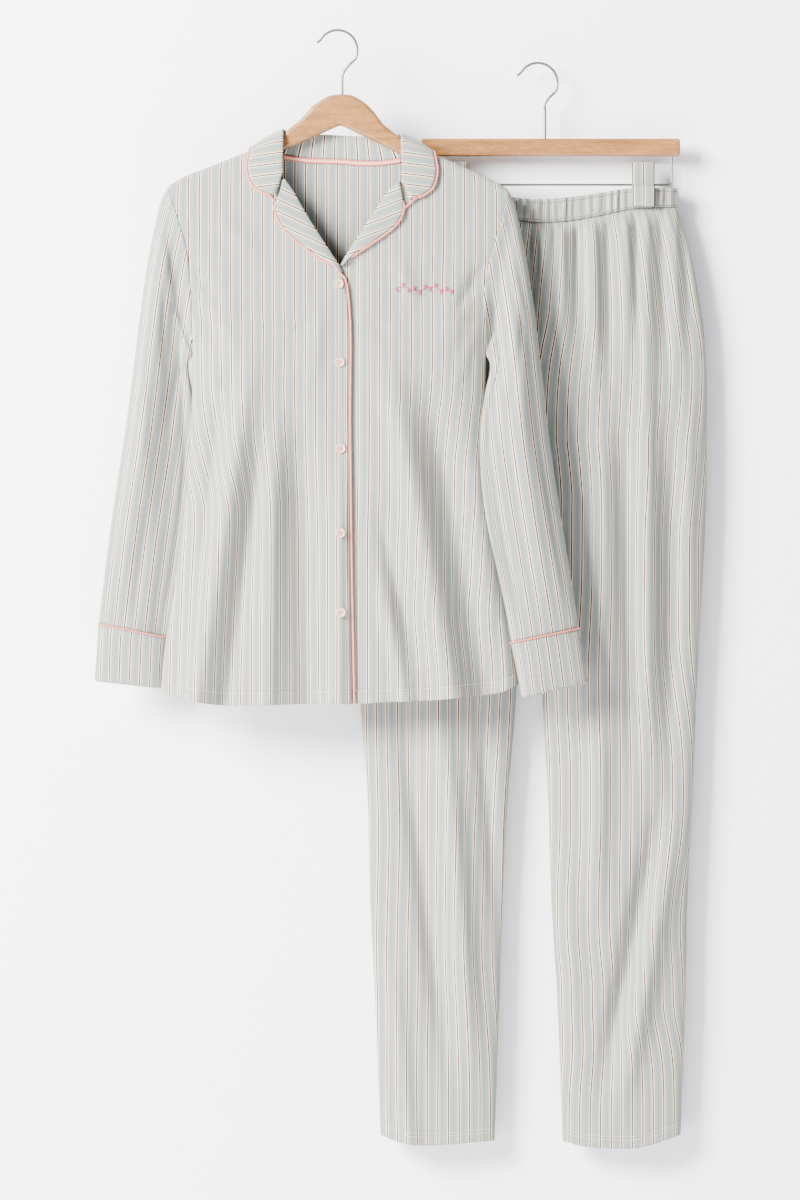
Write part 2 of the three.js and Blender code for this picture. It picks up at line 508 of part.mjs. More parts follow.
// Half of an armhole, from the underarm up to the shoulder: points, thickness directions and
// the direction out to the sleeve
function armhole(side, face) {
  const outward = side === 'right' ? -1 : 1;
  const forward = face === 'front' ? -1 : 1;
  const topZ = side === 'right' ? -178 : -182;
  const halfLength = (topZ - UNDERARM_Z) / 2;
  return UPPER_ROWS.map(({ angle }) => {
    const turn = radians(angle);
    const z = mix(topZ, UNDERARM_Z, (1 - Math.cos(turn)) / 2);
    const x = follow(ARMHOLES, 'z', side, z);
    const below = vector(follow(ARMHOLES, 'z', side, z - 1), 0, z - 1);
    const up = vector(x, 0, z).sub(below).normalize();
    const depth = angle === 0 || angle === 180 ? 0 : shirtDepth(face, x, z);
    const normal = up.clone().multiplyScalar(Math.cos(turn) * 12);
    normal.y = forward * Math.sin(turn) * halfLength;
    return {
      point: vector(x, forward * depth, z),
      normal: normal.normalize(),
      across: vector(outward * up.z, 0, -outward * up.x),
    };
  });
}

// Where a column of cloth lies across a panel, closer together at the side seam
const spread = (j, columns) => (j / columns) ** 1.5;

// Front panel: rows from the hem up, columns from the side seam to the front edge
function frontPanel(side) {
  const columns = 12;
  const hemSide = follow(SIDES, 'z', side, -758);
  const hemFront = follow(FRONT_EDGES, 'z', side, -773);
  const seam = armhole(side, 'front');
  const tuck = (x, z) => {
    if (side === 'right') return 0;
    const overEdge = follow(FRONT_EDGES, 'z', 'right', z) + 3;
    return UNDERLAP * ease((overEdge + 15 - x) / 11) * ease((-258 - z) / 14);
  };
  const lay = (x, z) => vector(x, -Math.max(SEAM / 2, shirtDepth('front', x, z) - tuck(x, z)), z);
  const rows = LOWER_ROWS.map((f) => {
    const sideZ = mix(follow(HEM, 'x', 'z', hemSide), UNDERARM_Z, f);
    const sideX = follow(SIDES, 'z', side, sideZ);
    const frontX = follow(FRONT_EDGES, 'z', side, mix(-773, UNDERARM_Z, f));
    return Array.from({ length: columns + 1 }, (unused, j) => {
      const t = spread(j, columns);
      const z = mix(follow(HEM, 'x', 'z', mix(hemSide, hemFront, t)), UNDERARM_Z, f);
      const point = lay(mix(sideX, frontX, t), z);
      if (j === 0) point.y = -SEAM / 2;
      return point;
    });
  });
  UPPER_ROWS.forEach((row, k) => {
    const start = seam[k].point.clone().addScaledVector(seam[k].across, -SEAM / 2);
    const endX = row[`${side}X`];
    const endZ = row.angle === 0 ? ridgeZ(endX) : row[`${side}Z`];
    rows.push(Array.from({ length: columns + 1 }, (unused, j) => {
      const t = spread(j, columns);
      const x = mix(start.x, endX, t);
      const straight = mix(start.z, endZ, t);
      const z = row.angle === 0 ? ridgeZ(x) : straight + sag(row, x, t, start, endX, endZ);
      const point = j === 0 ? start : lay(x, z);
      if (j === 0 || row.angle === 0) point.y = Math.min(point.y, -SEAM / 2);
      if (row.angle === 0) point.y = -SEAM / 2;
      return point;
    }));
  });
  const normals = gridNormals(rows, false);
  faceOut(normals, 4, 6, vector(0, -1, 0));
  normals.forEach((row, i) => {
    if (i < LOWER_ROWS.length) row[0].y = 0;
    else row[0].copy(seam[i - LOWER_ROWS.length].normal);
    row[0].normalize();
  });
  normals[normals.length - 1].forEach((normal) => normal.setY(0).normalize());
  return { rows, normals };
}

// Keeps a row just under the shoulder at an even distance from the shoulder line
function sag(row, x, t, start, endX, endZ) {
  const nearTop = ease((40 - row.angle) / 20);
  const dropStart = ridgeZ(start.x) - start.z;
  const dropEnd = ridgeZ(endX) - endZ;
  return nearTop * (ridgeZ(x) - mix(dropStart, dropEnd, t) - mix(start.z, endZ, t));
}

// Heights of the back's upper edge: shoulder line outside the neck, the neckline within it
function backTopZ(x) {
  const out = Math.abs(x - NECK_CENTRE_X);
  return out >= NECK_HALF ? ridgeZ(x) : ridgeZ(x) - follow(NECKLINE, 'out', 'drop', out);
}

// Columns of the back: those of the neckline have as many between the centre and each end
const NECK_FIRST = 6;
const NECK_MIDDLE = NECK_FIRST + NECKLINE.length - 1;
const NECK_LAST = NECK_MIDDLE + NECKLINE.length - 1;

// Fractions across the back, so that two columns fall on the ends of the neckline
function backColumns(seamRight, seamLeft) {
  const width = seamLeft - seamRight;
  const neckRight = (NECK_CENTRE_X - NECK_HALF - seamRight) / width;
  const neckLeft = (NECK_CENTRE_X + NECK_HALF - seamRight) / width;
  const shoulder = Array.from({ length: NECK_FIRST }, (unused, j) => spread(j, NECK_FIRST));
  const middle = (neckRight + neckLeft) / 2;
  const half = NECKLINE.map(({ out }) => out / width);
  return [
    ...shoulder.map((t) => t * neckRight),
    ...half.slice(1).reverse().map((t) => middle - t),
    ...half.map((t) => middle + t),
    ...shoulder.map((t) => 1 - t * (1 - neckLeft)).reverse(),
  ];
}

// Back panel: rows from the hem up, columns from the right side seam to the left one
function backPanel() {
  const seamRight = armhole('right', 'back');
  const seamLeft = armhole('left', 'back');
  const top = UPPER_ROWS.length - 1;
  const columns = backColumns(seamRight[top].point.x, seamLeft[top].point.x);
  const last = columns.length - 1;
  const lay = (x, z) => vector(x, Math.max(SEAM / 2, shirtDepth('back', x, z)), z);
  const hemRight = follow(SIDES, 'z', 'right', -758);
  const hemLeft = follow(SIDES, 'z', 'left', -758);
  const rows = LOWER_ROWS.map((f) => {
    const startX = follow(SIDES, 'z', 'right', mix(-758.7, UNDERARM_Z, f));
    const endX = follow(SIDES, 'z', 'left', mix(-750, UNDERARM_Z, f));
    return columns.map((t, j) => {
      const z = mix(follow(HEM, 'x', 'z', mix(hemRight, hemLeft, t)), UNDERARM_Z, f);
      const point = lay(mix(startX, endX, t), z);
      if (j === 0 || j === last) point.y = SEAM / 2;
      return point;
    });
  });
  UPPER_ROWS.forEach((row, k) => {
    const start = seamRight[k].point.clone().addScaledVector(seamRight[k].across, -SEAM / 2);
    const end = seamLeft[k].point.clone().addScaledVector(seamLeft[k].across, -SEAM / 2);
    const f = (1 - Math.cos(radians(row.angle))) / 2;
    rows.push(columns.map((t, j) => {
      if (j === 0 || j === last) {
        const corner = j === 0 ? start : end;
        corner.y = Math.max(corner.y, SEAM / 2);
        return corner;
      }
      const x = mix(start.x, end.x, t);
      const topZ = backTopZ(mix(seamRight[top].point.x, seamLeft[top].point.x, t));
      const shoulder = j <= NECK_FIRST || j >= NECK_LAST;
      const nearTop = ease((40 - row.angle) / 20);
      const even = topZ - f * mix(188, 184, t);
      const z = mix(mix(topZ, UNDERARM_Z, f), even, nearTop);
      const point = lay(x, row.angle === 0 && shoulder ? ridgeZ(x) : z);
      if (row.angle === 0 && shoulder) point.y = SEAM / 2;
      return point;
    }));
  });
  const normals = gridNormals(rows, false);
  faceOut(normals, 4, 10, vector(0, 1, 0));
  normals.forEach((row, i) => {
    if (i < LOWER_ROWS.length) {
      row[0].y = 0;
      row[last].y = 0;
    } else {
      row[0].copy(seamRight[i - LOWER_ROWS.length].normal);
      row[last].copy(seamLeft[i - LOWER_ROWS.length].normal);
    }
    row[0].normalize();
    row[last].normalize();
  });
  normals[normals.length - 1].forEach((normal, j) => {
    if (j <= NECK_FIRST || j >= NECK_LAST) normal.setY(0).normalize();
  });
  return { rows, normals };
}

// Sleeves and cuffs

// Angles round a sleeve: 0 at the shoulder, the front first
const SLEEVE_ANGLES = [
  ...UPPER_ROWS.map((row) => row.angle).reverse(),
  ...UPPER_ROWS.map((row) => 360 - row.angle).slice(1, -1),
];

function sleeveFoldHeight(folds, down, angle) {
  return folds.reduce((sum, fold) => {
    const t = (down - fold.from) / (fold.to - fold.from);
    const centre = mix(fold.startAngle, fold.endAngle, clamp(t, 0, 1));
    const strength = ease(t * 3) * ease((1 - t) * 3);
    return sum + fold.height * strength * Math.exp(-(((angle - centre) / fold.width) ** 2));
  }, 0);
}

// One flat ring of cloth between an outer and an inner point
function tubeRing(row, folds, down) {
  return SLEEVE_ANGLES.map((angle) => {
    const turn = radians(angle);
    const t = (1 - Math.cos(turn)) / 2;
    const swell = row.depth + sleeveFoldHeight(folds, down, angle);
    const flat = Math.sign(Math.sin(turn)) * Math.abs(Math.sin(turn)) ** 0.85;
    return vector(
      mix(row.outX, row.inX, t),
      mix(row.outY, row.inY, t) - flat * swell,
      mix(row.outZ, row.inZ, t),
    );
  });
}

function sleeve(side) {
  const outward = side === 'right' ? -1 : 1;
  const table = side === 'right' ? SLEEVE_RIGHT : SLEEVE_LEFT;
  const folds = side === 'right' ? SLEEVE_RIGHT_FOLDS : SLEEVE_LEFT_FOLDS;
  const front = armhole(side, 'front').reverse();
  const back = armhole(side, 'back').slice(1, -1);
  const seam = [...front, ...back];
  const head = seam.map(({ point, across }) => point.clone().addScaledVector(across, SEAM / 2));
  const rings = table.map((row, k) => tubeRing(row, folds, (k + 1) / table.length));
  const rows = [head, ...rings];
  const normals = gridNormals(rows, true);
  faceOut(normals, 5, 0, vector(outward, 0, 0));
  seam.forEach(({ normal }, j) => normals[0][j].copy(normal));
  return wallSolid(rows, normals, WALL, true);
}

function cuff(side) {
  const outward = side === 'right' ? -1 : 1;
  const table = side === 'right' ? CUFF_RIGHT : CUFF_LEFT;
  const rows = table.map((row) => tubeRing(row, [], 0));
  const normals = gridNormals(rows, true);
  faceOut(normals, 0, 0, vector(outward, 0, 0));
  return wallSolid(rows, normals, WALL, true);
}

// Piping over the seam between a sleeve and its cuff
function cuffPiping(side) {
  const outward = side === 'right' ? -1 : 1;
  const table = side === 'right' ? CUFF_RIGHT : CUFF_LEFT;
  const rows = table.map((row) => tubeRing(row, [], 0));
  const normals = gridNormals(rows, true);
  faceOut(normals, 0, 0, vector(outward, 0, 0));
  const clear = WALL / 2 + SEAM + CUFF_PIPING_RADIUS + 0.15;
  const path = rows[0].map((point, j) => point.clone().addScaledVector(normals[0][j], clear));
  return cordSolid(path, CUFF_PIPING_RADIUS, 5, true);
}

// Collar, lapels and what is sewn to them

// Front edge points of a panel with the way out of its edge, halfway points between rows too
function edgeStations(panel, firstRow, lastRow, halves) {
  const stations = [];
  for (let i = firstRow; i <= lastRow; i += 1) {
    const row = panel.rows[i];
    const end = row.length - 1;
    const normal = panel.normals[i][end];
    const outward = row[end].clone().sub(row[end - 1]);
    outward.addScaledVector(normal, -outward.dot(normal)).normalize();
    stations.push({ point: row[end], normal, outward });
  }
  if (!halves) return stations;
  return stations.flatMap((station, k) => {
    if (k === stations.length - 1) return [station];
    return [station, between(station, stations[k + 1], 0.5)];
  });
}

function between(station, next, t) {
  return {
    point: station.point.clone().lerp(next.point, t),
    normal: station.normal.clone().lerp(next.normal, t).normalize(),
    outward: station.outward.clone().lerp(next.outward, t).normalize(),
  };
}

// A layer turned over an edge: out of the edge and round the bend to its upper side
function turnedOver(station) {
  const reach = LAYER_LIFT / 2;
  return [0, 45, 110, 180].map((degrees) => {
    const angle = radians(degrees);
    const p = station.point.clone().addScaledVector(station.outward, SEAM + 0.2 + reach * Math.sin(angle));
    return p.addScaledVector(station.normal, reach * (1 - Math.cos(angle)));
  });
}

const UPPER_START = LOWER_ROWS.length;
const rowAtAngle = (angle) => UPPER_START + UPPER_ROWS.findIndex((row) => row.angle === angle);

function lapelRows(side, panel) {
  const stations = edgeStations(panel, rowAtAngle(135), rowAtAngle(60), true).reverse();
  stations[0] = between(stations[0], stations[1], 0.3);
  const rows = stations.map((station, k) => {
    const along = k / (stations.length - 1);
    const goalX = follow(LAPELS, 'along', `${side}X`, along);
    const goalZ = follow(LAPELS, 'along', `${side}Z`, along);
    const lifted = (t) => {
      const x = mix(station.point.x, goalX, t);
      const z = mix(station.point.z, goalZ, t);
      const lift = mix(LAYER_LIFT + 0.8, LAPEL_EDGE_LIFT, t);
      return vector(x, -(shirtDepth('front', x, z) + lift), z);
    };
    return [...turnedOver(station), ...[0.3, 0.65, 1].map(lifted)];
  });
  return { rows, normals: startFlush(rows, stations) };
}

// Normals of a turned-over layer, its first edge flush with the panel it is sewn to
function startFlush(rows, stations) {
  const normals = gridNormals(rows, false);
  faceOut(normals, 2, 0, stations[2].normal);
  stations.forEach((station, k) => normals[k][0].copy(station.normal));
  return normals;
}

// Collar rows from the right front end over the back of the neck to the left front end
function collarRows(rightFront, leftFront, back) {
  const frontStations = (panel) => {
    const lower = edgeStations(panel, rowAtAngle(60), rowAtAngle(36), false);
    const ends = [0.12, 0.4, 0.7].map((t) => between(lower[0], lower[1], t));
    const upper = edgeStations(panel, rowAtAngle(22), rowAtAngle(6), false);
    return [...ends, lower[1], ...upper];
  };
  const turns = [2, 1.83, 1.67, 1.5, 1.2, 1.1, 1.04];
  const topRow = back.rows.length - 1;
  const backStations = [];
  for (let j = NECK_FIRST; j <= NECK_LAST; j += 1) {
    const normal = back.normals[topRow][j];
    const tangent = back.rows[topRow][j + 1].clone().sub(back.rows[topRow][j - 1]);
    const outward = tangent.cross(normal).normalize();
    const inwards = vector(NECK_CENTRE_X - back.rows[topRow][j].x, 0, NECK_HALF / 2);
    if (outward.dot(inwards) < 0) outward.negate();
    backStations.push({
      point: back.rows[topRow][j],
      normal,
      outward,
      turn: NECKLINE[Math.abs(j - NECK_MIDDLE)].turn,
      hand: j < NECK_MIDDLE ? -1 : 1,
    });
  }
  const right = frontStations(rightFront).map((station, k) => ({ ...station, turn: turns[k], hand: -1 }));
  const left = frontStations(leftFront).map((station, k) => ({ ...station, turn: turns[k], hand: 1 }));
  const stations = [...right, ...backStations, ...left.reverse()];
  const rows = stations.map(collarSection);
  return { rows, normals: startFlush(rows, stations) };
}

function collarSection(station) {
  const value = (column) => follow(COLLAR, 'turn', column, station.turn);
  const foldX = NECK_CENTRE_X + station.hand * value('foldOut');
  const edgeX = NECK_CENTRE_X + station.hand * value('edgeOut');
  const lift = value('foldLift');
  const top = drape(foldX, value('foldWay'), lift);
  const edge = drape(edgeX, value('edgeWay'), COLLAR_EDGE_LIFT);
  const outer = drape(foldX, value('foldWay'), lift + COLLAR_BEND);
  const outward = outer.clone().sub(top).normalize();
  const back = edge.clone().sub(top);
  back.addScaledVector(outward, -back.dot(outward)).normalize();
  const inner = top.clone().addScaledVector(back, 1.3).addScaledVector(outward, -COLLAR_BEND);
  outer.addScaledVector(back, 1.3);
  const fall = [0.3, 0.65].map((t) => drape(
    mix(foldX, edgeX, t),
    mix(value('foldWay'), value('edgeWay'), t),
    mix(lift + COLLAR_BEND, COLLAR_EDGE_LIFT, t),
  ));
  const start = station.point.clone().addScaledVector(station.outward, COLLAR_SEAM);
  const stand = start.clone().lerp(inner, 0.5);
  return [start, stand, inner, top, outer, ...fall, edge];
}

// Flat ribbon over the back neck seam, inside the shirt
function neckTape() {
  const bands = [-3.1, -0.3, 2.2];
  const count = 14;
  const rows = bands.map((band) => Array.from({ length: count + 1 }, (unused, j) => {
    const x = mix(-62, 73, j / count);
    const z = backTopZ(x) + band;
    const depth = Math.min(shirtDepth('back', x, z), shirtDepth('back', x, backTopZ(x)) + 0.4);
    return vector(x, depth - WALL / 2 - 0.5 - SEAM - 0.15, z);
  }));
  return wallSolid(rows, gridNormals(rows, false), 1, false);
}

// Edge of a grid, moved outwards in the cloth's own plane, square to the edge
function besideEdge(rows, clear) {
  return rows.map((row, i) => {
    const end = row.length - 1;
    const ahead = rows[Math.min(i + 1, rows.length - 1)][end];
    const along = ahead.clone().sub(rows[Math.max(i - 1, 0)][end]).normalize();
    const out = row[end].clone().sub(row[end - 1]);
    out.addScaledVector(along, -out.dot(along)).normalize();
    return row[end].clone().addScaledVector(out, clear);
  });
}

// Where the piping turns from the front edge to the lapel
const V_FOOT = { x: 3.4, z: -279 };

// Piping in one run: up the right front, round both lapels and the collar
function edgePiping(rightFront, rightLapel, collarGrid, leftLapel) {
  const clear = SEAM + PIPING_RADIUS;
  const frontRows = rightFront.rows.slice(0, rowAtAngle(135));
  const front = besideEdge(frontRows, clear + 0.05).map((point) => point.add(vector(0, -0.7, 0)));
  const foot = vector(V_FOOT.x, -(shirtDepth('front', V_FOOT.x, V_FOOT.z) + LAYER_LIFT + 1), V_FOOT.z);
  const lapelIn = besideEdge(rightLapel.rows, clear).reverse();
  const around = besideEdge(collarGrid.rows, clear);
  const lapelOut = besideEdge(leftLapel.rows, clear);
  const points = [...front, foot, ...lapelIn.slice(1, -1), ...around.slice(1, -1), ...lapelOut.slice(1)];
  return cordSolid(points, PIPING_RADIUS, 6, false);
}

// Buttons, and how far each stands off the highest cloth under it
const BUTTON_PLACES = [
  { x: 1.7, z: -291, gap: 0.9 }, { x: 3, z: -381, gap: 0.9 }, { x: 4, z: -480, gap: 0.9 },
  { x: 4, z: -577, gap: 0.9 }, { x: 4.4, z: -668, gap: 0.3 },
];

function buttonGeometry() {
  const back = BUTTON_THICK / 2;
  const profile = [
    [0, back], [BUTTON_RADIUS - 1, back], [BUTTON_RADIUS, 0.3], [BUTTON_RADIUS - 0.2, -0.9],
    [BUTTON_RADIUS - 1.1, -back], [BUTTON_RADIUS - 2.1, -0.7], [0, -0.7],
  ].map(([radius, height]) => new THREE.Vector2(radius, height));
  return new THREE.LatheGeometry(profile.reverse(), 10);
}

// Trousers

const hemZ = (x) => follow(LEG_HEMS, 'x', 'z', x);

// How much of a row near the centre seam is still open, from 0 below the crotch to 1 well above
const openness = (z) => ease((z - CROTCH_Z) / 95);

const LEG_STEPS = 30;

function trouserLeg(side) {
  const outward = side === 'right' ? -1 : 1;
  const inset = -outward * SEAM / 2;
  const last = LEGS.length - 1;
  const rows = LEGS.map((row, k) => Array.from({ length: LEG_STEPS + 1 }, (unused, j) => {
    const turn = 2 * Math.PI * j / LEG_STEPS;
    const t = (1 - Math.cos(turn)) / 2;
    const outer = row[`${side}Out`];
    const x = mix(row[`${side}In`] - inset, outer, t);
    const seamZ = follow(WAIST_EDGE, 'x', 'seam', x) - SEAM - 0.1;
    let z = row.z;
    if (k === 0) z = seamZ;
    if (k === 1) z = mix(seamZ, row.z, 0.75);
    if (k === last) z = hemZ(x);
    const open = openness(row.z);
    const closedProfile = Math.abs(Math.sin(turn)) ** 0.8;
    const openProfile = Math.sqrt(Math.max(0, 1 - t ** 2.4));
    const front = j < LEG_STEPS / 2;
    const folds = foldHeight(front ? LEG_FRONT_FOLDS : LEG_BACK_FOLDS, x, z);
    const fade = mix(Math.abs(Math.sin(turn)), Math.sin(Math.acos(clamp(t, 0, 1))), open) ** 0.7;
    const profile = mix(closedProfile, openProfile, open);
    const away = Math.max(SEAM / 2, row.depth * profile + (k === 0 ? 0 : folds * fade));
    return vector(x, TROUSER_Y + (front ? -away : away), z);
  }));
  rows.forEach((row, k) => {
    if (openness(LEGS[k].z) === 0) {
      row[0].y = TROUSER_Y - SEAM / 2 - 0.05;
      row[LEG_STEPS].y = TROUSER_Y + SEAM / 2 + 0.05;
    }
    row[LEG_STEPS / 2].y = TROUSER_Y;
  });
  const normals = gridNormals(rows, false);
  faceOut(normals, last - 2, LEG_STEPS / 2, vector(outward, 0, 0));
  normals.forEach((row, k) => {
    [0, LEG_STEPS].forEach((j) => {
      if (openness(LEGS[k].z) === 0) row[j].set(-outward, 0, 0);
      else row[j].setX(0).normalize();
    });
  });
  normals[0].forEach((normal) => normal.setZ(0).normalize());
  return wallSolid(rows, normals, WALL, false);
}

// Ring of the waist, evenly stepped, with the gathers as waves along its normals
function waistRing() {
  const fine = 1440;
  const ring = Array.from({ length: fine + 1 }, (unused, k) => {
    const turn = 2 * Math.PI * k / fine;
    const x = WAIST_CENTRE_X + WAIST_HALF * Math.cos(turn);
    const flat = Math.sign(Math.sin(turn)) * Math.abs(Math.sin(turn)) ** 0.8;
    return vector(x, TROUSER_Y - WAIST_DEPTH * flat, 0);
  });
  const lengths = [0];
  for (let k = 1; k <= fine; k += 1) lengths.push(lengths[k - 1] + ring[k].distanceTo(ring[k - 1]));
  const steps = GATHERS * 3;
  const even = Array.from({ length: steps }, (unused, j) => {
    const goal = lengths[fine] * j / steps;
    const k = lengths.findIndex((length) => length > goal) - 1;
    const t = (goal - lengths[k]) / (lengths[k + 1] - lengths[k]);
    return ring[k].clone().lerp(ring[k + 1], t);
  });
  return even.map((point, j) => {
    const before = even[(j + steps - 1) % steps];
    const after = even[(j + 1) % steps];
    const out = vector(after.y - before.y, -(after.x - before.x), 0).normalize();
    if (out.dot(vector(point.x - WAIST_CENTRE_X, (point.y - TROUSER_Y) * 10, 0)) < 0) out.negate();
    const wave = j % 3 === 0 ? GATHER_HEIGHT : 0;
    return { point: point.clone().addScaledVector(out, wave), out };
  });
}

function waistband() {
  const ring = waistRing();
  const rows = ['seam', 'top'].map((column) => ring.map(({ point }) => (
    vector(point.x, point.y, follow(WAIST_EDGE, 'x', column, point.x))
  )));
  const normals = gridNormals(rows, true);
  normals.forEach((row) => row.forEach((normal) => normal.setZ(0).normalize()));
  return wallSolid(rows, normals, WALL, true);
}

// Hanging loop: pressed flat above the wire, its legs down both sides of the waistband
function loopGeometry(centreX) {
  const reach = (Math.abs(centreX - WAIST_CENTRE_X) - LOOP_WIDTH / 2) / WAIST_HALF;
  const waist = WAIST_DEPTH * (1 - reach ** 2) ** 0.4 + GATHER_HEIGHT + WALL / 2;
  const inner = waist + 0.5;
  const outer = inner + WALL;
  const half = [
    [1.5, LOOP_TOP], [1.6, WIRE_Z + 4.1], [4, WIRE_Z + 0.5], [outer - 1.6, WIRE_Z - 1.7],
    [outer, WIRE_Z - 4.1], [outer, LOOP_FOOT], [inner, LOOP_FOOT], [inner, WIRE_Z - 4.9],
    [inner - 1.3, WIRE_Z - 3.2], [2.2, WIRE_Z - 1.1], [1.7, WIRE_Z], [1.2, WIRE_Z + 1.2],
    [0.4, WIRE_Z + 1.7],
  ];
  const outline = new THREE.Shape([
    ...half.map(([y, z]) => new THREE.Vector2(y, z)),
    ...half.slice().reverse().map(([y, z]) => new THREE.Vector2(-y, z)),
  ]);
  const geometry = new THREE.ExtrudeGeometry(outline, { depth: LOOP_WIDTH, bevelEnabled: false });
  geometry.rotateX(Math.PI / 2);
  geometry.rotateZ(-Math.PI / 2);
  geometry.computeBoundingBox();
  const shift = centreX - (geometry.boundingBox.min.x + geometry.boundingBox.max.x) / 2;
  geometry.translate(shift, TROUSER_Y, 0);
  return geometry;
}

// Hangers

// Flat wooden outline (x, z) with rounded edges, its middle in the plane at y
function woodGeometry(points, thickness, round, y) {
  const outline = new THREE.Shape(points.map(({ x, z }) => new THREE.Vector2(x, z)));
  const geometry = new THREE.ExtrudeGeometry(outline, {
    depth: thickness - 2 * round,
    bevelThickness: round,
    bevelSize: round,
    bevelOffset: -round,
    bevelSegments: 2,
  });
  geometry.rotateX(Math.PI / 2);
  geometry.translate(0, y + thickness / 2 - round, 0);
  return geometry;
}

function hangerOutline() {
  const rested = (x) => ({ x, z: ridgeZ(x) - WOOD_DROP });
  const rightTop = [-186, -175, -156, -130, -104, -82].map(rested);
  const leftTop = [93, 111, 130, 150, 172, 188].map(rested);
  return [...rightTop, ...WOOD_NECK, ...leftTop, ...WOOD_UNDER];
}

function barOutline() {
  const { left, right, top, bottom, corner } = BAR;
  return [
    { x: left + corner, z: bottom }, { x: right - corner, z: bottom }, { x: right, z: bottom + corner },
    { x: right, z: top - corner }, { x: right - corner, z: top }, { x: left + corner, z: top },
    { x: left, z: top - corner }, { x: left, z: bottom + corner },
  ];
}

// Hook: a ring open at the side of its tip, then a bend into the straight shank
function hookSolid({ ringX, ringZ, y, bendX, bendZ, shankX, endZ }) {
  const arc = [150, 128, 106, 84, 62, 40, 18, -4, -26].map((angle) => vector(
    ringX + HOOK_RING * Math.cos(radians(angle)),
    y,
    ringZ + HOOK_RING * Math.sin(radians(angle)),
  ));
  const guides = [
    vector(ringX - HOOK_RING - 0.8, y, ringZ + 8.4),
    ...arc,
    vector(mix(ringX + HOOK_RING * 0.9, bendX, 0.55), y, bendZ + 8),
    vector(bendX, y, bendZ - 1),
    vector(shankX, y, bendZ - 9),
    vector(shankX, y, endZ),
  ];
  const path = new THREE.CatmullRomCurve3(guides, false, 'centripetal').getSpacedPoints(26);
  return cordSolid(path, HOOK_WIRE, 7, false);
}

const wasm = await Module();
wasm.setup();

function toSolid(geometry) {
  const plain = geometry.clone();
  plain.deleteAttribute('normal');
  plain.deleteAttribute('uv');
  const merged = mergeVertices(plain, 1e-4);
  const vertProperties = new Float32Array(merged.attributes.position.array);
  const triVerts = new Uint32Array(merged.index.array);
  return new wasm.Manifold(new wasm.Mesh({ numProp: 3, vertProperties, triVerts }));
}

function fromSolid(solid) {
  const { vertProperties, triVerts } = solid.getMesh();
  const geometry = new THREE.BufferGeometry();
  geometry.setAttribute('position', new THREE.Float32BufferAttribute(Array.from(vertProperties), 3));
  geometry.setIndex(Array.from(triVerts));
  geometry.computeVertexNormals();
  return geometry;
}

// Wood with upright blind holes for wire of the given radius
function drilled(geometry, holes) {
  return fromSolid(holes.reduce((solid, hole) => {
    const length = hole.top - hole.bottom;
    const drill = new THREE.CylinderGeometry(hole.radius, hole.radius, length, 10);
    drill.rotateX(Math.PI / 2);
    drill.translate(hole.x, hole.y, (hole.top + hole.bottom) / 2);
    return solid.subtract(toSolid(drill));
  }, toSolid(geometry)));
}

// The set

const set = new THREE.Group();

function add(name, geometry, colour, roughness = 0.9, metalness = 0) {
  const material = new THREE.MeshStandardMaterial({ color: colour, roughness, metalness });
  const mesh = new THREE.Mesh(geometry, material);
  mesh.name = name;
  set.add(mesh);
}

const frontRight = frontPanel('right');
const frontLeft = frontPanel('left');
const back = backPanel();
const lapelRight = lapelRows('right', frontRight);
const lapelLeft = lapelRows('left', frontLeft);
const collarGrid = collarRows(frontRight, frontLeft, back);

add('shirt_front_right', wallSolid(frontRight.rows, frontRight.normals, WALL, false), CLOTH_COLOUR);
add('shirt_front_left', wallSolid(frontLeft.rows, frontLeft.normals, WALL, false), CLOTH_COLOUR);
add('shirt_back', wallSolid(back.rows, back.normals, WALL, false), CLOTH_COLOUR);
add('sleeve_right', sleeve('right'), CLOTH_COLOUR);
add('sleeve_left', sleeve('left'), CLOTH_COLOUR);
add('cuff_right', cuff('right'), CLOTH_COLOUR);
add('cuff_left', cuff('left'), CLOTH_COLOUR);
add('collar', wallSolid(collarGrid.rows, collarGrid.normals, WALL, false), CLOTH_COLOUR);
add('lapel_right', wallSolid(lapelRight.rows, lapelRight.normals, WALL, false), CLOTH_COLOUR);
add('lapel_left', wallSolid(lapelLeft.rows, lapelLeft.normals, WALL, false), CLOTH_COLOUR);
add('neck_tape', neckTape(), PIPING_COLOUR);
add('piping_edge', edgePiping(frontRight, lapelRight, collarGrid, lapelLeft), PIPING_COLOUR);
add('piping_cuff_right', cuffPiping('right'), PIPING_COLOUR);
add('piping_cuff_left', cuffPiping('left'), PIPING_COLOUR);
BUTTON_PLACES.forEach(({ x, z, gap }, k) => {
  const under = [-5, 0, 5].flatMap((side) => [-5, 0, 5].map((up) => shirtDepth('front', x + side, z + up)));
  const face = Math.max(...under) + WALL / 2 + gap + BUTTON_THICK / 2;
  add(`button_${k + 1}`, buttonGeometry().translate(x, -face, z), BUTTON_COLOUR, 0.4);
});

add('trouser_leg_right', trouserLeg('right'), CLOTH_COLOUR);
add('trouser_leg_left', trouserLeg('left'), CLOTH_COLOUR);
add('waistband', waistband(), CLOTH_COLOUR);
add('hanging_loop_right', loopGeometry(WAIST_CENTRE_X - LOOP_OUT), CLOTH_COLOUR);
add('hanging_loop_left', loopGeometry(WAIST_CENTRE_X + LOOP_OUT), CLOTH_COLOUR);

const shankHole = (hook, top) => (
  { x: hook.shankX, y: hook.y, top, bottom: hook.endZ - 0.5, radius: HOOK_WIRE + DRILL_GAP }
);
const shirtWood = woodGeometry(hangerOutline(), WOOD_THICK, WOOD_ROUND, 0);
add('shirt_hanger_wood', drilled(shirtWood, [shankHole(HOOKS.shirt, -60)]), WOOD_COLOUR, 0.5);
add('shirt_hanger_hook', hookSolid(HOOKS.shirt), STEEL_COLOUR, 0.3, 1);

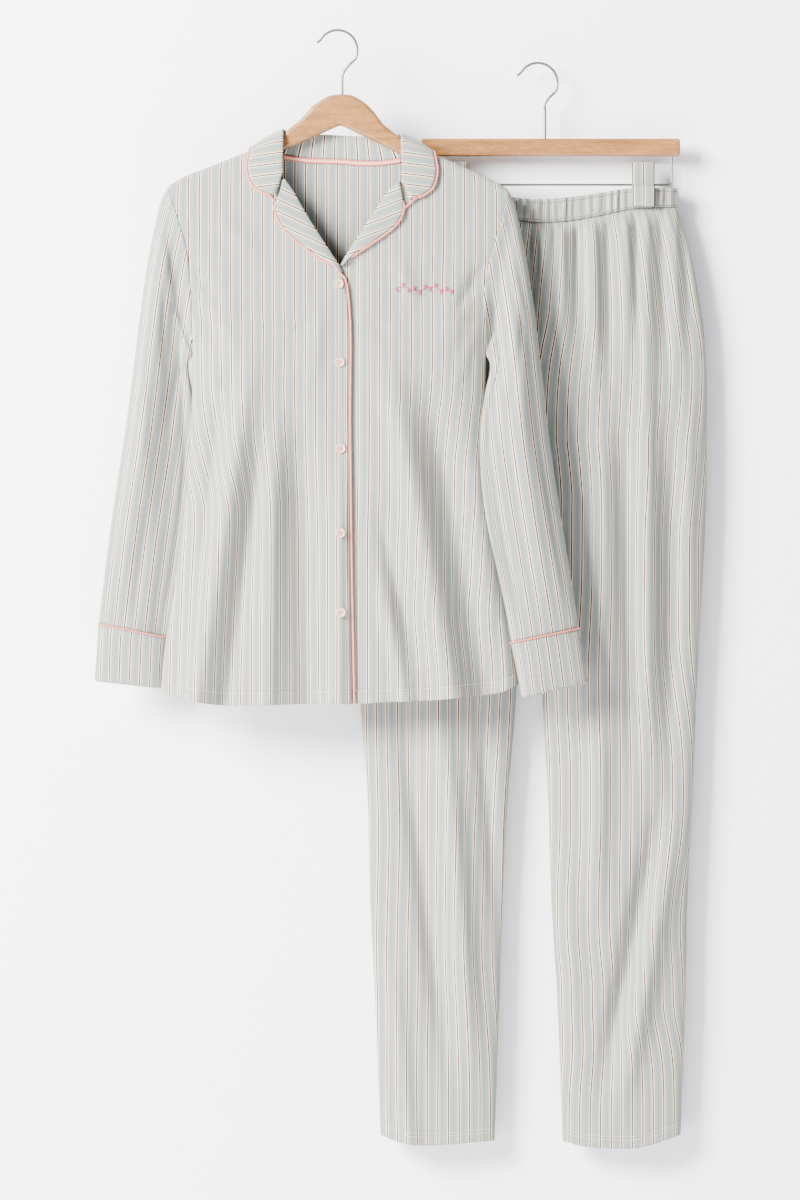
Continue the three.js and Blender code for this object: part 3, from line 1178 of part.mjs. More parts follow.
const wireHoles = WIRE_UPRIGHTS.map((x) => (
  { x, y: TROUSER_Y, top: WIRE_TOP + 0.5, bottom: BAR.bottom - 10, radius: FRAME_WIRE + DRILL_GAP }
));
const bar = woodGeometry(barOutline(), BAR_THICK, BAR_ROUND, TROUSER_Y);
add('trouser_hanger_bar', drilled(bar, [shankHole(HOOKS.trousers, -110), ...wireHoles]), WOOD_COLOUR, 0.5);
add('trouser_hanger_hook', hookSolid(HOOKS.trousers), STEEL_COLOUR, 0.3, 1);

// Wire under the bar that carries both loops
const wireCorner = (x, inward) => [0, 30, 60, 90].map((angle) => vector(
  x + inward * WIRE_CORNER * (1 - Math.cos(radians(angle))),
  TROUSER_Y,
  WIRE_Z + WIRE_CORNER * (1 - Math.sin(radians(angle))),
));
add('trouser_hanger_wire', cordSolid([
  vector(WIRE_UPRIGHTS[0], TROUSER_Y, WIRE_TOP),
  ...wireCorner(WIRE_UPRIGHTS[0], 1),
  ...wireCorner(WIRE_UPRIGHTS[1], -1).reverse(),
  vector(WIRE_UPRIGHTS[1], TROUSER_Y, WIRE_TOP),
], FRAME_WIRE, 8, false), STEEL_COLOUR, 0.3, 1);

export default set;
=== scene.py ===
import math
import random

import bmesh
import bpy
from mathutils import Matrix, Vector


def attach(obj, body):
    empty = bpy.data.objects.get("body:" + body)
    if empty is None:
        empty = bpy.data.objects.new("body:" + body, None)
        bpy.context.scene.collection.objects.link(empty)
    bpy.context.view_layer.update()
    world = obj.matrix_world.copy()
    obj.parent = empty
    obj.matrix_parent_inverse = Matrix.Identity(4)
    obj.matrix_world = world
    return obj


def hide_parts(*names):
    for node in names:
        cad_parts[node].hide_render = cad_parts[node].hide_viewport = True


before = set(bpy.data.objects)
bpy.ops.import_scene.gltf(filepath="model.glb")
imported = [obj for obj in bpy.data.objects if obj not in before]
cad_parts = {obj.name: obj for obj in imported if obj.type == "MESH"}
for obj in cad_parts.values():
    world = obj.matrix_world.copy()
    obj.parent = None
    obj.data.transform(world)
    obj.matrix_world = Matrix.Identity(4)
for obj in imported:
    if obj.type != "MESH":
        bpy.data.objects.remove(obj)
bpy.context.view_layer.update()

# Shirt fronts
# Two front panels of brushed striped jersey, the wearer's right lapped over the left. Each is cut flat and
# flared to its turned-up, stitched hem, and is sewn to the back at the side and shoulder. They hang from the
# wooden hanger in soft folds. All sizes below are millimetres in the CAD frame, as the solids have them.
MM = 0.001
WALL = 1.4
SEAM = 0.3
LAYER_LIFT = 2.6
NECK_CENTRE_X = 5.5
NECK_HALF = 85.5
RIDGE_RADIUS = 7
RIDGE_LEAN = 0.92
SETTLE_LENGTH = 70
SIDE_ROUND = 85
UNDERARM_Z = -366
SHOULDER_ENDS = {"right": -178, "left": -182}
# heights of the hem at the sides and at the front edges
HEM_LEVEL = -758
FRONT_HEM = -773
# how deep the left front sinks under the right one, below this height
UNDERLAP = 3
LAP_TOP = -258
HEM_STITCH = 14
# columns of a front, and the power that crowds them towards the side seam
PANEL_COLUMNS = 64
CROWDING = 1.35

# x, z
RIDGE = [
    (-194, -178), (-175, -167), (-156, -159.6), (-97, -136), (-45, -114), (4, -95), (55, -117),
    (111, -142), (150, -159), (183, -174), (195, -182),
]
# z, right, left
SIDES = [
    (-780, -205, 212), (-758, -202.6, 210), (-699, -196.7, 203), (-644, -187.8, 194),
    (-540, -174.6, 180), (-435, -167.5, 171.5), (UNDERARM_Z, -167, 171), (-300, -184, 188),
    (-250, -206, 210), (-180, -262, 264),
]
# z, front, back
DEPTHS = [
    (-780, 25, 21), (-600, 25, 21), (-400, 24, 20), (-250, 21, 19), (-120, 18, 18),
]
# x, z
HEM = [
    (-203, -758.7), (-165, -770), (-122, -775), (-39, -773), (20, -773), (54, -771), (106, -769),
    (147, -765), (188, -760), (210, -750),
]
# z, right, left
ARMHOLES = [
    (UNDERARM_Z, -167, 171), (-330, -167.4, 169), (-295, -168.5, 168.5), (-251, -173, 178),
    (-218, -182, 188), (-190, -191.5, 194), (-178, -194, 195.4),
]
# z, right, left
FRONT_EDGES = [
    (-780, 18.4, -12), (-618, 15.4, -12), (-447, 13.4, -12), (UNDERARM_Z, 14, -12),
]
# angle, rightX, rightZ, leftX, leftZ
UPPER_ROWS = [
    (180, 14, -366, -12, -366), (167, 13.4, -335, -12, -335), (152, 10.6, -299, -7, -297),
    (144, 7.2, -284.5, 1, -280), (135, 2, -274, 8, -266), (115, -18, -243, 25, -239),
    (95, -37, -213, 44, -210), (75, -53.5, -184, 60, -186), (60, -64.5, -169, 74, -171),
    (36, -72, -150, 82, -154), (22, -78, -136, 89, -140), (13, -79.4, -132, 90.4, -136),
    (6, -79.8, -130, 90.8, -133.8), (0, -80, -129, 91, -133),
]
# The front's folds, read from its light and dark bands; topX, topZ, endX, endZ, width, height, runsOut
SHIRT_FRONT_FOLDS = [
    (-91, -320, -163, -775, 15, 12.6, 1), (-80, -430, -128, -775, 11, -9.8, 1),
    (-73, -420, -80, -775, 13, 9.8, 1), (-46, -380, -33, -775, 18, -11.2, 1),
    (4, -470, 2, -775, 10, 7, 1), (48, -330, 134, -775, 17, 12.6, 1),
    (92, -350, 172, -775, 17, -11.2, 1), (148, -400, 194, -720, 13, 7, 0),
    (40, -520, 100, -765, 9, -6.3, 0), (42, -600, 80, -775, 9, 6.3, 1),
    (-132, -390, -160, -650, 9, -5.6, 0), (-150, -240, -112, -420, 16, 3.5, 0),
    (150, -250, 118, -400, 16, 3.5, 0),
]
# topX, topZ, endX, endZ, width, height, runsOut
SHIRT_BACK_FOLDS = [
    (-110, -420, -152, -778, 22, 5, 1), (-62, -360, -84, -778, 20, -6, 1),
    (-18, -430, -22, -778, 24, 4.5, 1), (34, -380, 44, -778, 20, -6, 1),
    (78, -450, 104, -778, 22, 4, 1), (118, -400, 158, -770, 18, -4, 1),
]
# Smaller creases: drags from the armholes, the lapels and between the buttons
FRONT_CREASES = [
    (-176, -262, -120, -330, 7, -3.3, 0), (-174, -300, -128, -372, 8, -3.2, 0),
    (-168, -345, -118, -452, 8, 3.3, 0), (-150, -205, -84, -262, 12, 3.3, 0),
    (172, -262, 128, -336, 8, -3.8, 0), (172, -320, 130, -420, 8, 3.3, 0), (66, -246, 92, -330, 9, 3.2, 0),
    (-16, -330, -60, -348, 6, -2, 0), (30, -332, 64, -352, 6, -2, 0), (-12, -432, -48, -446, 6, 2, 0),
    (26, -430, 66, -456, 6, -2, 0), (-10, -528, -44, -548, 6, -2.1, 0), (26, -530, 60, -556, 6, 2.1, 0),
    (-20, -300, -30, -420, 10, 3.3, 0), (-176, -620, -192, -765, 7, -4.7, 1),
    (180, -640, 186, -765, 7, -4.2, 1),
]
BACK_CREASES = [
    (-150, -260, -96, -340, 12, -1.6, 0), (152, -260, 100, -340, 12, -1.6, 0),
    (-8, -190, -6, -330, 16, -1.4, 0), (-128, -560, -142, -778, 9, 1.8, 1),
    (60, -560, 72, -778, 9, 1.8, 1), (4, -600, 12, -778, 9, -1.6, 1),
]
FOLDS = {"front": SHIRT_FRONT_FOLDS + FRONT_CREASES, "back": SHIRT_BACK_FOLDS + BACK_CREASES}

# Rows of a panel: fractions from the hem to the underarm, closer over the hem, then angles round the armhole
LOWER_ROWS = [k * 0.0045 for k in range(13)] + [0.0585 + 0.9415 * k / 60 for k in range(60)]
PANEL_ANGLES = list(range(180, 24, -3)) + [22, 19, 16, 13, 11, 9, 7.5, 6, 4, 2, 1, 0]


def clamp(value, low=0.0, high=1.0):
    return min(high, max(low, value))


def mix(a, b, t):
    return a + (b - a) * t


def ease(t):
    t = clamp(t)
    return t * t * (3 - 2 * t)


def bump(off, width):
    """Smooth hump, 1 at its middle, by the distance off it"""
    return math.exp(-(off / width) ** 2)


def follow(table, at, column=1):
    """A table's column where its first column is `at`, on a smooth curve through the rows"""
    last = len(table) - 1
    way = 1 if table[last][0] > table[0][0] else -1
    i = 0
    while i < last - 1 and (at - table[i + 1][0]) * way > 0:
        i += 1

    def slope(k):
        before, after = table[max(0, k - 1)], table[min(last, k + 1)]
        return (after[column] - before[column]) / (after[0] - before[0])

    span = table[i + 1][0] - table[i][0]
    t = clamp((at - table[i][0]) / span)
    bend = t * (1 - t) ** 2 * slope(i) + t * t * (t - 1) * slope(i + 1)
    return mix(table[i][column], table[i + 1][column], ease(t)) + span * bend


def fold_height(folds, x, z):
    total = 0
    for top_x, top_z, end_x, end_z, width, height, runs_out in folds:
        line_x, line_z = end_x - top_x, end_z - top_z
        length = math.hypot(line_x, line_z)
        away = ((x - top_x) * line_z - (z - top_z) * line_x) / length / width
        if abs(away) > 3:
            continue
        along = ((x - top_x) * line_x + (z - top_z) * line_z) / length ** 2
        fade = 1 if runs_out else ease((1 - along) / 0.4)
        total += height * ease(along / 0.4) * fade * bump(away, 1)
    return total


def ridge_z(x):
    return follow(RIDGE, x)


def shirt_depth(face, x, z):
    """Half depth of the shirt's front or back at a point of the front view"""
    below = max(0, (ridge_z(x) - z) * RIDGE_LEAN)
    full = follow(DEPTHS, z, 1 if face == "front" else 2)
    sunk = below - RIDGE_RADIUS
    if sunk < 0:
        rise = math.sqrt(RIDGE_RADIUS ** 2 - sunk ** 2)
    else:
        rise = RIDGE_RADIUS + (full - RIDGE_RADIUS) * (1 - math.exp(-sunk / SETTLE_LENGTH))
    inside = clamp(min(x - follow(SIDES, z, 1), follow(SIDES, z, 2) - x) / SIDE_ROUND)
    folds = fold_height(FOLDS[face], x, z) * ease(inside * 2.2) * ease(below / 60)
    return rise * math.sqrt(1 - (1 - inside) ** 2) + folds


def hem_groove(x, z, hem_z, height=HEM_STITCH):
    """Shallow dent along a stitched hem, puckered unevenly"""
    pucker = 0.35 * math.sin(x * 0.83) + 0.25 * math.sin(x * 0.37 + 1.4)
    return -(1.1 + pucker) * bump(z - hem_z - height, 2.2)


def armhole(side, face, angles):
    """Half of an armhole seam: each point, its thickness direction and the way out to the sleeve"""
    outward = -1 if side == "right" else 1
    forward = -1 if face == "front" else 1
    column = 1 if side == "right" else 2
    top_z = SHOULDER_ENDS[side]
    seam = []
    for angle in angles:
        turn = math.radians(angle)
        z = mix(top_z, UNDERARM_Z, (1 - math.cos(turn)) / 2)
        x = follow(ARMHOLES, z, column)
        up = Vector((x - follow(ARMHOLES, z - 1, column), 0, 1)).normalized()
        depth = 0 if angle in (0, 180) else shirt_depth(face, x, z)
        normal = up * math.cos(turn) * 12
        normal.y = forward * math.sin(turn) * (top_z - UNDERARM_Z) / 2
        across = Vector((outward * up.z, 0, -outward * up.x))
        seam.append((Vector((x, forward * depth, z)), normal.normalized(), across))
    return seam


def near_shoulder(angle):
    """How far a row at this angle of the armhole follows the shoulder line"""
    return ease((40 - angle) / 20)


def front_panel(side):
    """Rows of points from the hem up, each from the side seam to the front edge"""
    column = 1 if side == "right" else 2
    hem_side, hem_front = follow(SIDES, HEM_LEVEL, column), follow(FRONT_EDGES, FRONT_HEM, column)
    seam = armhole(side, "front", PANEL_ANGLES)

    def lay(x, z):
        lapped = 0
        if side == "left":
            over_edge = follow(FRONT_EDGES, z, 1) + 3
            lapped = UNDERLAP * ease((over_edge + 15 - x) / 11) * ease((LAP_TOP - z) / 14)
        depth = shirt_depth("front", x, z) - lapped + hem_groove(x, z, follow(HEM, x))
        return Vector((x, -max(SEAM / 2, depth), z))

    rows = []
    for f in LOWER_ROWS:
        side_x = follow(SIDES, mix(follow(HEM, hem_side), UNDERARM_Z, f), column)
        front_x = follow(FRONT_EDGES, mix(FRONT_HEM, UNDERARM_Z, f), column)
        row = []
        for j in range(PANEL_COLUMNS + 1):
            t = (j / PANEL_COLUMNS) ** CROWDING
            z = mix(follow(HEM, mix(hem_side, hem_front, t)), UNDERARM_Z, f)
            row.append(lay(mix(side_x, front_x, t), z))
        row[0].y = -SEAM / 2
        rows.append(row)
    for angle, (point, _, across) in zip(PANEL_ANGLES, seam):
        start = point - across * SEAM / 2
        end_x = follow(UPPER_ROWS, angle, 1 if side == "right" else 3)
        end_z = follow(UPPER_ROWS, angle, 2 if side == "right" else 4)
        near_top = near_shoulder(angle)
        drop_start, drop_end = ridge_z(start.x) - start.z, max(0, ridge_z(end_x) - end_z)
        row = [Vector((start.x, min(start.y, -SEAM / 2), start.z))]
        for j in range(1, PANEL_COLUMNS + 1):
            t = (j / PANEL_COLUMNS) ** CROWDING
            x = mix(start.x, end_x, t)
            even = ridge_z(x) - mix(drop_start, drop_end, t) * (0 if angle == 0 else 1)
            row.append(lay(x, mix(mix(start.z, end_z, t), even, near_top)))
        if angle == 0:
            for p in row:
                p.y = -SEAM / 2
        rows.append(row)
    return rows


def grid_normals(rows, closed, outward, at):
    """Normals of a grid of points, turned to look along `outward` at the point (i, j) of `at`"""
    normals = []
    for i, row in enumerate(rows):
        above, below = rows[min(i + 1, len(rows) - 1)], rows[max(i - 1, 0)]
        line = []
        for j in range(len(row)):
            before = row[j - 1] if closed or j else row[0]
            after = row[(j + 1) % len(row)] if closed else row[min(j + 1, len(row) - 1)]
            line.append((after - before).cross(above[j] - below[j]).normalized())
        normals.append(line)
    if normals[at[0]][at[1]].dot(outward) < 0:
        normals = [[-n for n in line] for line in normals]
    return normals


def level_lengths(depth, low, high):
    """Reader of the distance over the cloth from x = 0 along level lines, for depth(x, z)"""
    step_x, step_z = 4, 12
    count = int((high[0] - low[0]) / step_x) + 2
    zero = -low[0] / step_x
    lines = []
    for k in range(int((high[1] - low[1]) / step_z) + 2):
        heights = [depth(low[0] + i * step_x, low[1] + k * step_z) for i in range(count)]
        total = [0]
        for a, b in zip(heights, heights[1:]):
            total.append(total[-1] + math.hypot(step_x, b - a))
        start = mix(total[int(zero)], total[int(zero) + 1], zero % 1)
        lines.append([t - start for t in total])

    def read(x, z):
        at_x = clamp((x - low[0]) / step_x, 0, count - 1.001)
        at_z = clamp((z - low[1]) / step_z, 0, len(lines) - 1.001)
        i, k = int(at_x), int(at_z)
        below, above = (mix(line[i], line[i + 1], at_x % 1) for line in lines[k:k + 2])
        return mix(below, above, at_z % 1)

    return read


def linked(name, data):
    """New object of this data, in the scene"""
    obj = bpy.data.objects.new(name, data)
    bpy.context.scene.collection.objects.link(obj)
    return obj


def mesh_object(name, bm):
    mesh = bpy.data.meshes.new(name)
    bm.to_mesh(mesh)
    bm.free()
    return linked(name, mesh)


def grid_object(name, rows, outward, at, closed=False, uv=None):
    """Smooth surface through rows of points; uv(i, j) gives its place on the flat cloth in millimetres"""
    count = len(rows[0])
    across, up = (count if closed else count - 1), len(rows) - 1
    bm = bmesh.new()
    bmesh.ops.create_grid(bm, x_segments=across, y_segments=up, size=1)
    place = {v: (round((v.co.y + 1) / 2 * up), round((v.co.x + 1) / 2 * across)) for v in bm.verts}
    layer = bm.loops.layers.uv.new("cloth")
    if uv:
        for face in bm.faces:
            for loop in face.loops:
                loop[layer].uv = [value * MM for value in uv(*place[loop.vert])]
    marked = None
    for vert, (i, j) in place.items():
        vert.co = rows[i][j % count] * MM
        if (i, j) == at:
            marked = vert
    bm.normal_update()
    if marked.normal.dot(outward) < 0:
        bmesh.ops.reverse_faces(bm, faces=bm.faces[:])
    bmesh.ops.remove_doubles(bm, verts=bm.verts[:], dist=2e-6)
    for face in bm.faces:
        face.smooth = True
    return mesh_object(name, bm)


def thicken(obj, thickness):
    solid = obj.modifiers.new("cloth thickness", "SOLIDIFY")
    solid.thickness = thickness * MM
    solid.offset = 0
    return obj


def dress(obj, material, slot, *nodes):
    """Gives a finished piece its material; the slot is not used. It stands for the CAD nodes named"""
    obj.data.materials.clear()
    obj.data.materials.append(material)
    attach(obj, "root")
    if nodes:
        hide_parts(*nodes)
    return obj


def cloth_piece(name, stands_for, rows, outward, at, uv, closed=False, thickness=WALL):
    """Piece of striped jersey through rows of points"""
    obj = grid_object(name, rows, outward, at, closed, uv)
    thicken(obj, thickness)
    return dress(obj, JERSEY, "striped_cloth", stands_for)


def srgb(red, green, blue):
    """Linear colour of one seen as 0 to 255 values"""
    levels = [c / 255 for c in (red, green, blue)]
    return [c / 12.92 if c <= 0.04045 else ((c + 0.055) / 1.055) ** 2.4 for c in levels] + [1]


def node(tree, kind, place=None, **settings):
    made = tree.nodes.new(kind)
    for key, value in settings.items():
        setattr(made, key, value)
    for socket, value in (place or {}).items():
        if isinstance(value, bpy.types.NodeSocket):
            tree.links.new(value, made.inputs[socket])
        else:
            made.inputs[socket].default_value = value
    return made


def sum_node(tree, operation, *values):
    """Output of one sum of numbers"""
    return node(tree, "ShaderNodeMath", dict(enumerate(values)), operation=operation).outputs[0]


def vector_times(tree, a, b):
    return node(tree, "ShaderNodeVectorMath", {0: a, 1: b}, operation="MULTIPLY").outputs[0]


def noise(tree, place, scale, detail):
    return node(tree, "ShaderNodeTexNoise", {"Vector": place, "Scale": scale, "Detail": detail}).outputs[0]


def place_group(name, output, kind):
    """Node group from a place on the cloth to one output: the tree, the place, its parts and the end"""
    tree = bpy.data.node_groups.new(name, "ShaderNodeTree")
    tree.interface.new_socket("Place", in_out="INPUT", socket_type="NodeSocketVector")
    tree.interface.new_socket(output, in_out="OUTPUT", socket_type=kind)
    place = node(tree, "NodeGroupInput").outputs["Place"]
    end = node(tree, "NodeGroupOutput").inputs[output]
    flat = node(tree, "ShaderNodeSeparateXYZ", {0: place})
    return tree, place, flat, end


def stripe_group():
    """Colours of one repeat of the stripes, from a distance across them in metres"""
    repeat = 12.2
    # where each band starts in the repeat, and its colour
    bands = [
        (0.0, (30, 22, 17)), (0.085, (216, 200, 180)), (0.17, (156, 134, 114)),
        (0.225, (137, 139, 130)), (0.40, (132, 139, 132)), (0.52, (119, 132, 127)),
        (0.70, (138, 141, 137)), (0.80, (127, 134, 128)),
        (0.895, (218, 207, 190)), (0.96, (120, 99, 82)),
    ]
    tree, place, flat, end = place_group("stripes", "Colour", "NodeSocketColor")
    wander = noise(tree, vector_times(tree, place, (60, 8, 1)), 1, 1)
    shift = sum_node(tree, "MULTIPLY", wander, 0.0012)
    moved = sum_node(tree, "ADD", flat.outputs[0], shift)
    part = sum_node(tree, "FRACT", sum_node(tree, "MULTIPLY", moved, 1000 / repeat))
    ramp = node(tree, "ShaderNodeValToRGB", {0: part})
    ramp.color_ramp.interpolation = "CONSTANT"
    elements = ramp.color_ramp.elements
    while len(elements) < len(bands):
        elements.new(0.5)
    for element, (begin, colour) in zip(elements, bands):
        element.position = begin
        element.color = srgb(*colour)
    fuzz = noise(tree, place, 900, 2)
    tone = node(tree, "ShaderNodeMapRange", {"Value": fuzz, "To Min": 0.93, "To Max": 1.05})
    tree.links.new(vector_times(tree, ramp.outputs[0], tone.outputs[0]), end)
    return tree


def nap_group():
    """Surface of fine-ribbed brushed jersey: ribs along the stripes and a soft nap"""
    rib_pitch = 0.0011
    tree, place, flat, end = place_group("jersey nap", "Normal", "NodeSocketVector")
    phase = sum_node(tree, "MULTIPLY", flat.outputs[0], 2 * math.pi / rib_pitch)
    soft = sum_node(tree, "MULTIPLY", noise(tree, place, 420, 3), 2.2)
    height = sum_node(tree, "ADD", sum_node(tree, "SINE", phase), soft)
    relief = node(tree, "ShaderNodeBump", {"Height": height, "Strength": 0.35, "Distance": 0.00012})
    tree.links.new(relief.outputs[0], end)
    return tree


def plain_material(name, colour, roughness, **inputs):
    made = bpy.data.materials.new(name)
    made.use_nodes = True
    shader = made.node_tree.nodes["Principled BSDF"]
    shader.inputs["Base Color"].default_value = srgb(*colour)
    shader.inputs["Roughness"].default_value = roughness
    for key, value in inputs.items():
        shader.inputs[key.replace("_", " ")].default_value = value
    return made


def cloth_material(name):
    made = plain_material(
        name, (214, 220, 216), 0.95, Sheen_Weight=0.1, Sheen_Roughness=0.5, Specular_IOR_Level=0.15
    )
    tree = made.node_tree
    place = node(tree, "ShaderNodeUVMap", uv_map="cloth")
    shader = tree.nodes["Principled BSDF"]
    for group, socket in ((STRIPES, "Base Color"), (NAP, "Normal")):
        used = node(tree, "ShaderNodeGroup")
        used.node_tree = group
        tree.links.new(place.outputs[0], used.inputs["Place"])
        tree.links.new(used.outputs[0], shader.inputs[socket])
    return made


def stitches(name, path, normals, material, length=2.6, gap=1.1, width=0.42):
    """One row of thread stitches along a path that lies on cloth; normals set which way each stitch faces"""
    bm = bmesh.new()
    travelled, due = 0, 0
    for a, b, normal in zip(path, path[1:], normals):
        span = (b - a).length
        while due + length / 2 <= travelled + span and span > 0:
            centre = a.lerp(b, clamp((due + length / 2 - travelled) / span))
            along = (b - a).normalized()
            up = (normal - along * normal.dot(along)).normalized()
            turn = Matrix((along, up.cross(along), up)).transposed().to_4x4()
            size = Matrix.Diagonal((length * MM, width * MM, width * MM * 0.8, 1))
            bmesh.ops.create_cube(bm, size=1, matrix=Matrix.Translation(centre * MM) @ turn @ size)
            due += length + gap
        travelled += span
    return dress(mesh_object(name, bm), material, "striped_cloth")


def on_shirt(face, x, z, lift):
    forward = -1 if face == "front" else 1
    return Vector((x, forward * (shirt_depth(face, x, z) + lift), z))


# rows of thread sink to this height over the middle of the cloth
THREAD_LIFT = 0.25
STRIPES = stripe_group()
NAP = nap_group()
JERSEY = cloth_material("striped jersey")
THREAD = plain_material("pale thread", (212, 204, 192), 0.8)
LOW, HIGH = (-215, -785), (220, -90)
front_across = level_lengths(lambda x, z: shirt_depth("front", x, z), LOW, HIGH)
shirt_pieces, fronts = [], {}
for side in ("right", "left"):
    rows = front_panel(side)
    shirt_pieces.append(cloth_piece(
        f"front_{side}_cloth", f"shirt_front_{side}", rows, (0, -1, 0), (30, 30),
        lambda i, j, rows=rows: (front_across(rows[i][j].x, rows[i][j].z), -rows[i][j].z),
    ))
    fronts[side] = rows


def hem_path(face, x_from, x_to):
    xs = [mix(x_from, x_to, k / 90) for k in range(91)]
    return [on_shirt(face, x, follow(HEM, x) + HEM_STITCH, THREAD_LIFT) for x in xs]


# the way off the cloth, for as many stitches as a row may have
TOWARDS_VIEWER, TOWARDS_WALL = [Vector((0, -1, 0))] * 200, [Vector((0, 1, 0))] * 200
front_stitching = [
    stitches("hem_stitch_right", hem_path("front", -196, 17), TOWARDS_VIEWER, THREAD),
    stitches("hem_stitch_left", hem_path("front", 23, 204), TOWARDS_VIEWER, THREAD),
]

# Shirt back
# One panel of the same jersey with no yoke, hung from the same shoulder seams, its neckline scooped between
# them. A narrow two-coloured tape covers the neck seam inside.
# out, drop, turn
NECKLINE = [
    (0, 57, 0), (20, 50, 0.2), (40, 38, 0.42), (58, 28, 0.6), (74, 18, 0.77), (83.5, 10, 0.86),
    (84.9, 3, 0.93), (85.5, 0, 1),
]
TAPE_BANDS = [-3.1, -1.8, -0.5, 0.8, 2.2]
TAPE_ENDS = (-62, 73)


def back_top_z(x):
    out = abs(x - NECK_CENTRE_X)
    if out >= NECK_HALF:
        return ridge_z(x)
    spread = 18 * (1 - (out / NECK_HALF) ** 2)
    nearby = [min(NECK_HALF, abs(out + spread * k / 3)) for k in range(-3, 4)]
    return ridge_z(x) - sum(follow(NECKLINE, place) for place in nearby) / 7


NECK_OUTS = [5 * k for k in range(16)] + [78, 80.5, 82.5, 83.7, 84.4, 84.9, 85.25, 85.5]
SHOULDER_COLUMNS = NECK_FIRST = 30
NECK_MIDDLE = NECK_FIRST + len(NECK_OUTS) - 1
NECK_LAST = NECK_MIDDLE + len(NECK_OUTS) - 1


def back_panel():
    """Rows from the hem up, each from the right side seam to the left one"""
    right, left = armhole("right", "back", PANEL_ANGLES), armhole("left", "back", PANEL_ANGLES)
    top_right, top_left = right[-1][0].x, left[-1][0].x
    width = top_left - top_right
    neck_right = (NECK_CENTRE_X - NECK_HALF - top_right) / width
    neck_left = (NECK_CENTRE_X + NECK_HALF - top_right) / width
    middle = (neck_right + neck_left) / 2
    shoulder = [(k / SHOULDER_COLUMNS) ** CROWDING for k in range(SHOULDER_COLUMNS)]
    columns = [t * neck_right for t in shoulder]
    columns += [middle - out / width for out in NECK_OUTS[:0:-1]]
    columns += [middle + out / width for out in NECK_OUTS]
    columns += [1 - t * (1 - neck_left) for t in reversed(shoulder)]
    hem_right, hem_left = follow(SIDES, HEM_LEVEL, 1), follow(SIDES, HEM_LEVEL, 2)
    shoulder_heights = [SHOULDER_ENDS[side] - UNDERARM_Z for side in ("right", "left")]

    def lay(x, z):
        depth = shirt_depth("back", x, z) + hem_groove(x, z, follow(HEM, x))
        return Vector((x, max(SEAM / 2, depth), z))

    rows = []
    for f in LOWER_ROWS:
        start_x = follow(SIDES, mix(HEM[0][1], UNDERARM_Z, f), 1)
        end_x = follow(SIDES, mix(HEM[-1][1], UNDERARM_Z, f), 2)
        row = []
        for t in columns:
            z = mix(follow(HEM, mix(hem_right, hem_left, t)), UNDERARM_Z, f)
            row.append(lay(mix(start_x, end_x, t), z))
        row[0].y = row[-1].y = SEAM / 2
        rows.append(row)
    for k, angle in enumerate(PANEL_ANGLES):
        start, end = (seam[k][0] - seam[k][2] * SEAM / 2 for seam in (right, left))
        f = (1 - math.cos(math.radians(angle))) / 2
        near_top = near_shoulder(angle)
        row = []
        for j, t in enumerate(columns):
            on_shoulder = j <= NECK_FIRST or j >= NECK_LAST
            x = mix(start.x, end.x, t)
            top_z = back_top_z(mix(top_right, top_left, t))
            z = mix(mix(top_z, UNDERARM_Z, f), top_z - f * mix(*shoulder_heights, t), near_top)
            point = lay(x, ridge_z(x) if angle == 0 and on_shoulder else z)
            if angle == 0 and on_shoulder:
                point.y = SEAM / 2
            row.append(point)
        row[0], row[-1] = start, end
        for corner in (start, end):
            corner.y = max(corner.y, SEAM / 2)
        rows.append(row)
    return rows


back_across = level_lengths(lambda x, z: shirt_depth("back", x, z), LOW, HIGH)
back_rows = back_panel()
back = cloth_piece(
    "back_cloth", "shirt_back", back_rows, (0, 1, 0), (30, 60),
    lambda i, j: (back_across(back_rows[i][j].x, back_rows[i][j].z), -back_rows[i][j].z),
)
back_stitching = stitches("hem_stitch_back", hem_path("back", -196, 204), TOWARDS_WALL, THREAD)


def blended(material, share, first, second):
    """The material with its colour mixed from two by a share"""
    tree = material.node_tree
    blend = node(tree, "ShaderNodeMix", {0: share, 6: srgb(*first), 7: srgb(*second)}, data_type="RGBA")
    tree.links.new(blend.outputs[2], tree.nodes["Principled BSDF"].inputs["Base Color"])
    return material


def banded_material(name, edge, middle, half_width):
    """Cloth tape of one colour with a band of another along its middle"""
    made = plain_material(name, edge, 0.9, Sheen_Weight=0.2)
    tree = made.node_tree
    place = node(tree, "ShaderNodeUVMap", uv_map="cloth")
    flat = node(tree, "ShaderNodeSeparateXYZ", {0: place.outputs[0]})
    inner = sum_node(tree, "LESS_THAN", sum_node(tree, "ABSOLUTE", flat.outputs[1]), half_width * MM)
    return blended(made, inner, edge, middle)


PINK = (206, 104, 84)
TAPE = banded_material("neck tape", PINK, (222, 164, 146), 1.0)
tape_rows = []
for band in TAPE_BANDS:
    row = []
    for k in range(91):
        x = mix(*TAPE_ENDS, k / 90)
        z = back_top_z(x) + band
        depth = min(shirt_depth("back", x, z), shirt_depth("back", x, back_top_z(x)) + 0.4)
        swell = 0.35 * (1 - (band / 3.2) ** 2)
        row.append(Vector((x, depth - WALL / 2 - 0.5 - SEAM - 0.15 - swell, z)))
    tape_rows.append(row)
tape = grid_object(
    "neck_tape_cloth", tape_rows, (0, -1, 0), (2, 40),
    uv=lambda i, j: (tape_rows[i][j].x, TAPE_BANDS[i] + 0.4),
)
thicken(tape, 0.8)
dress(tape, TAPE, "piping", "neck_tape")

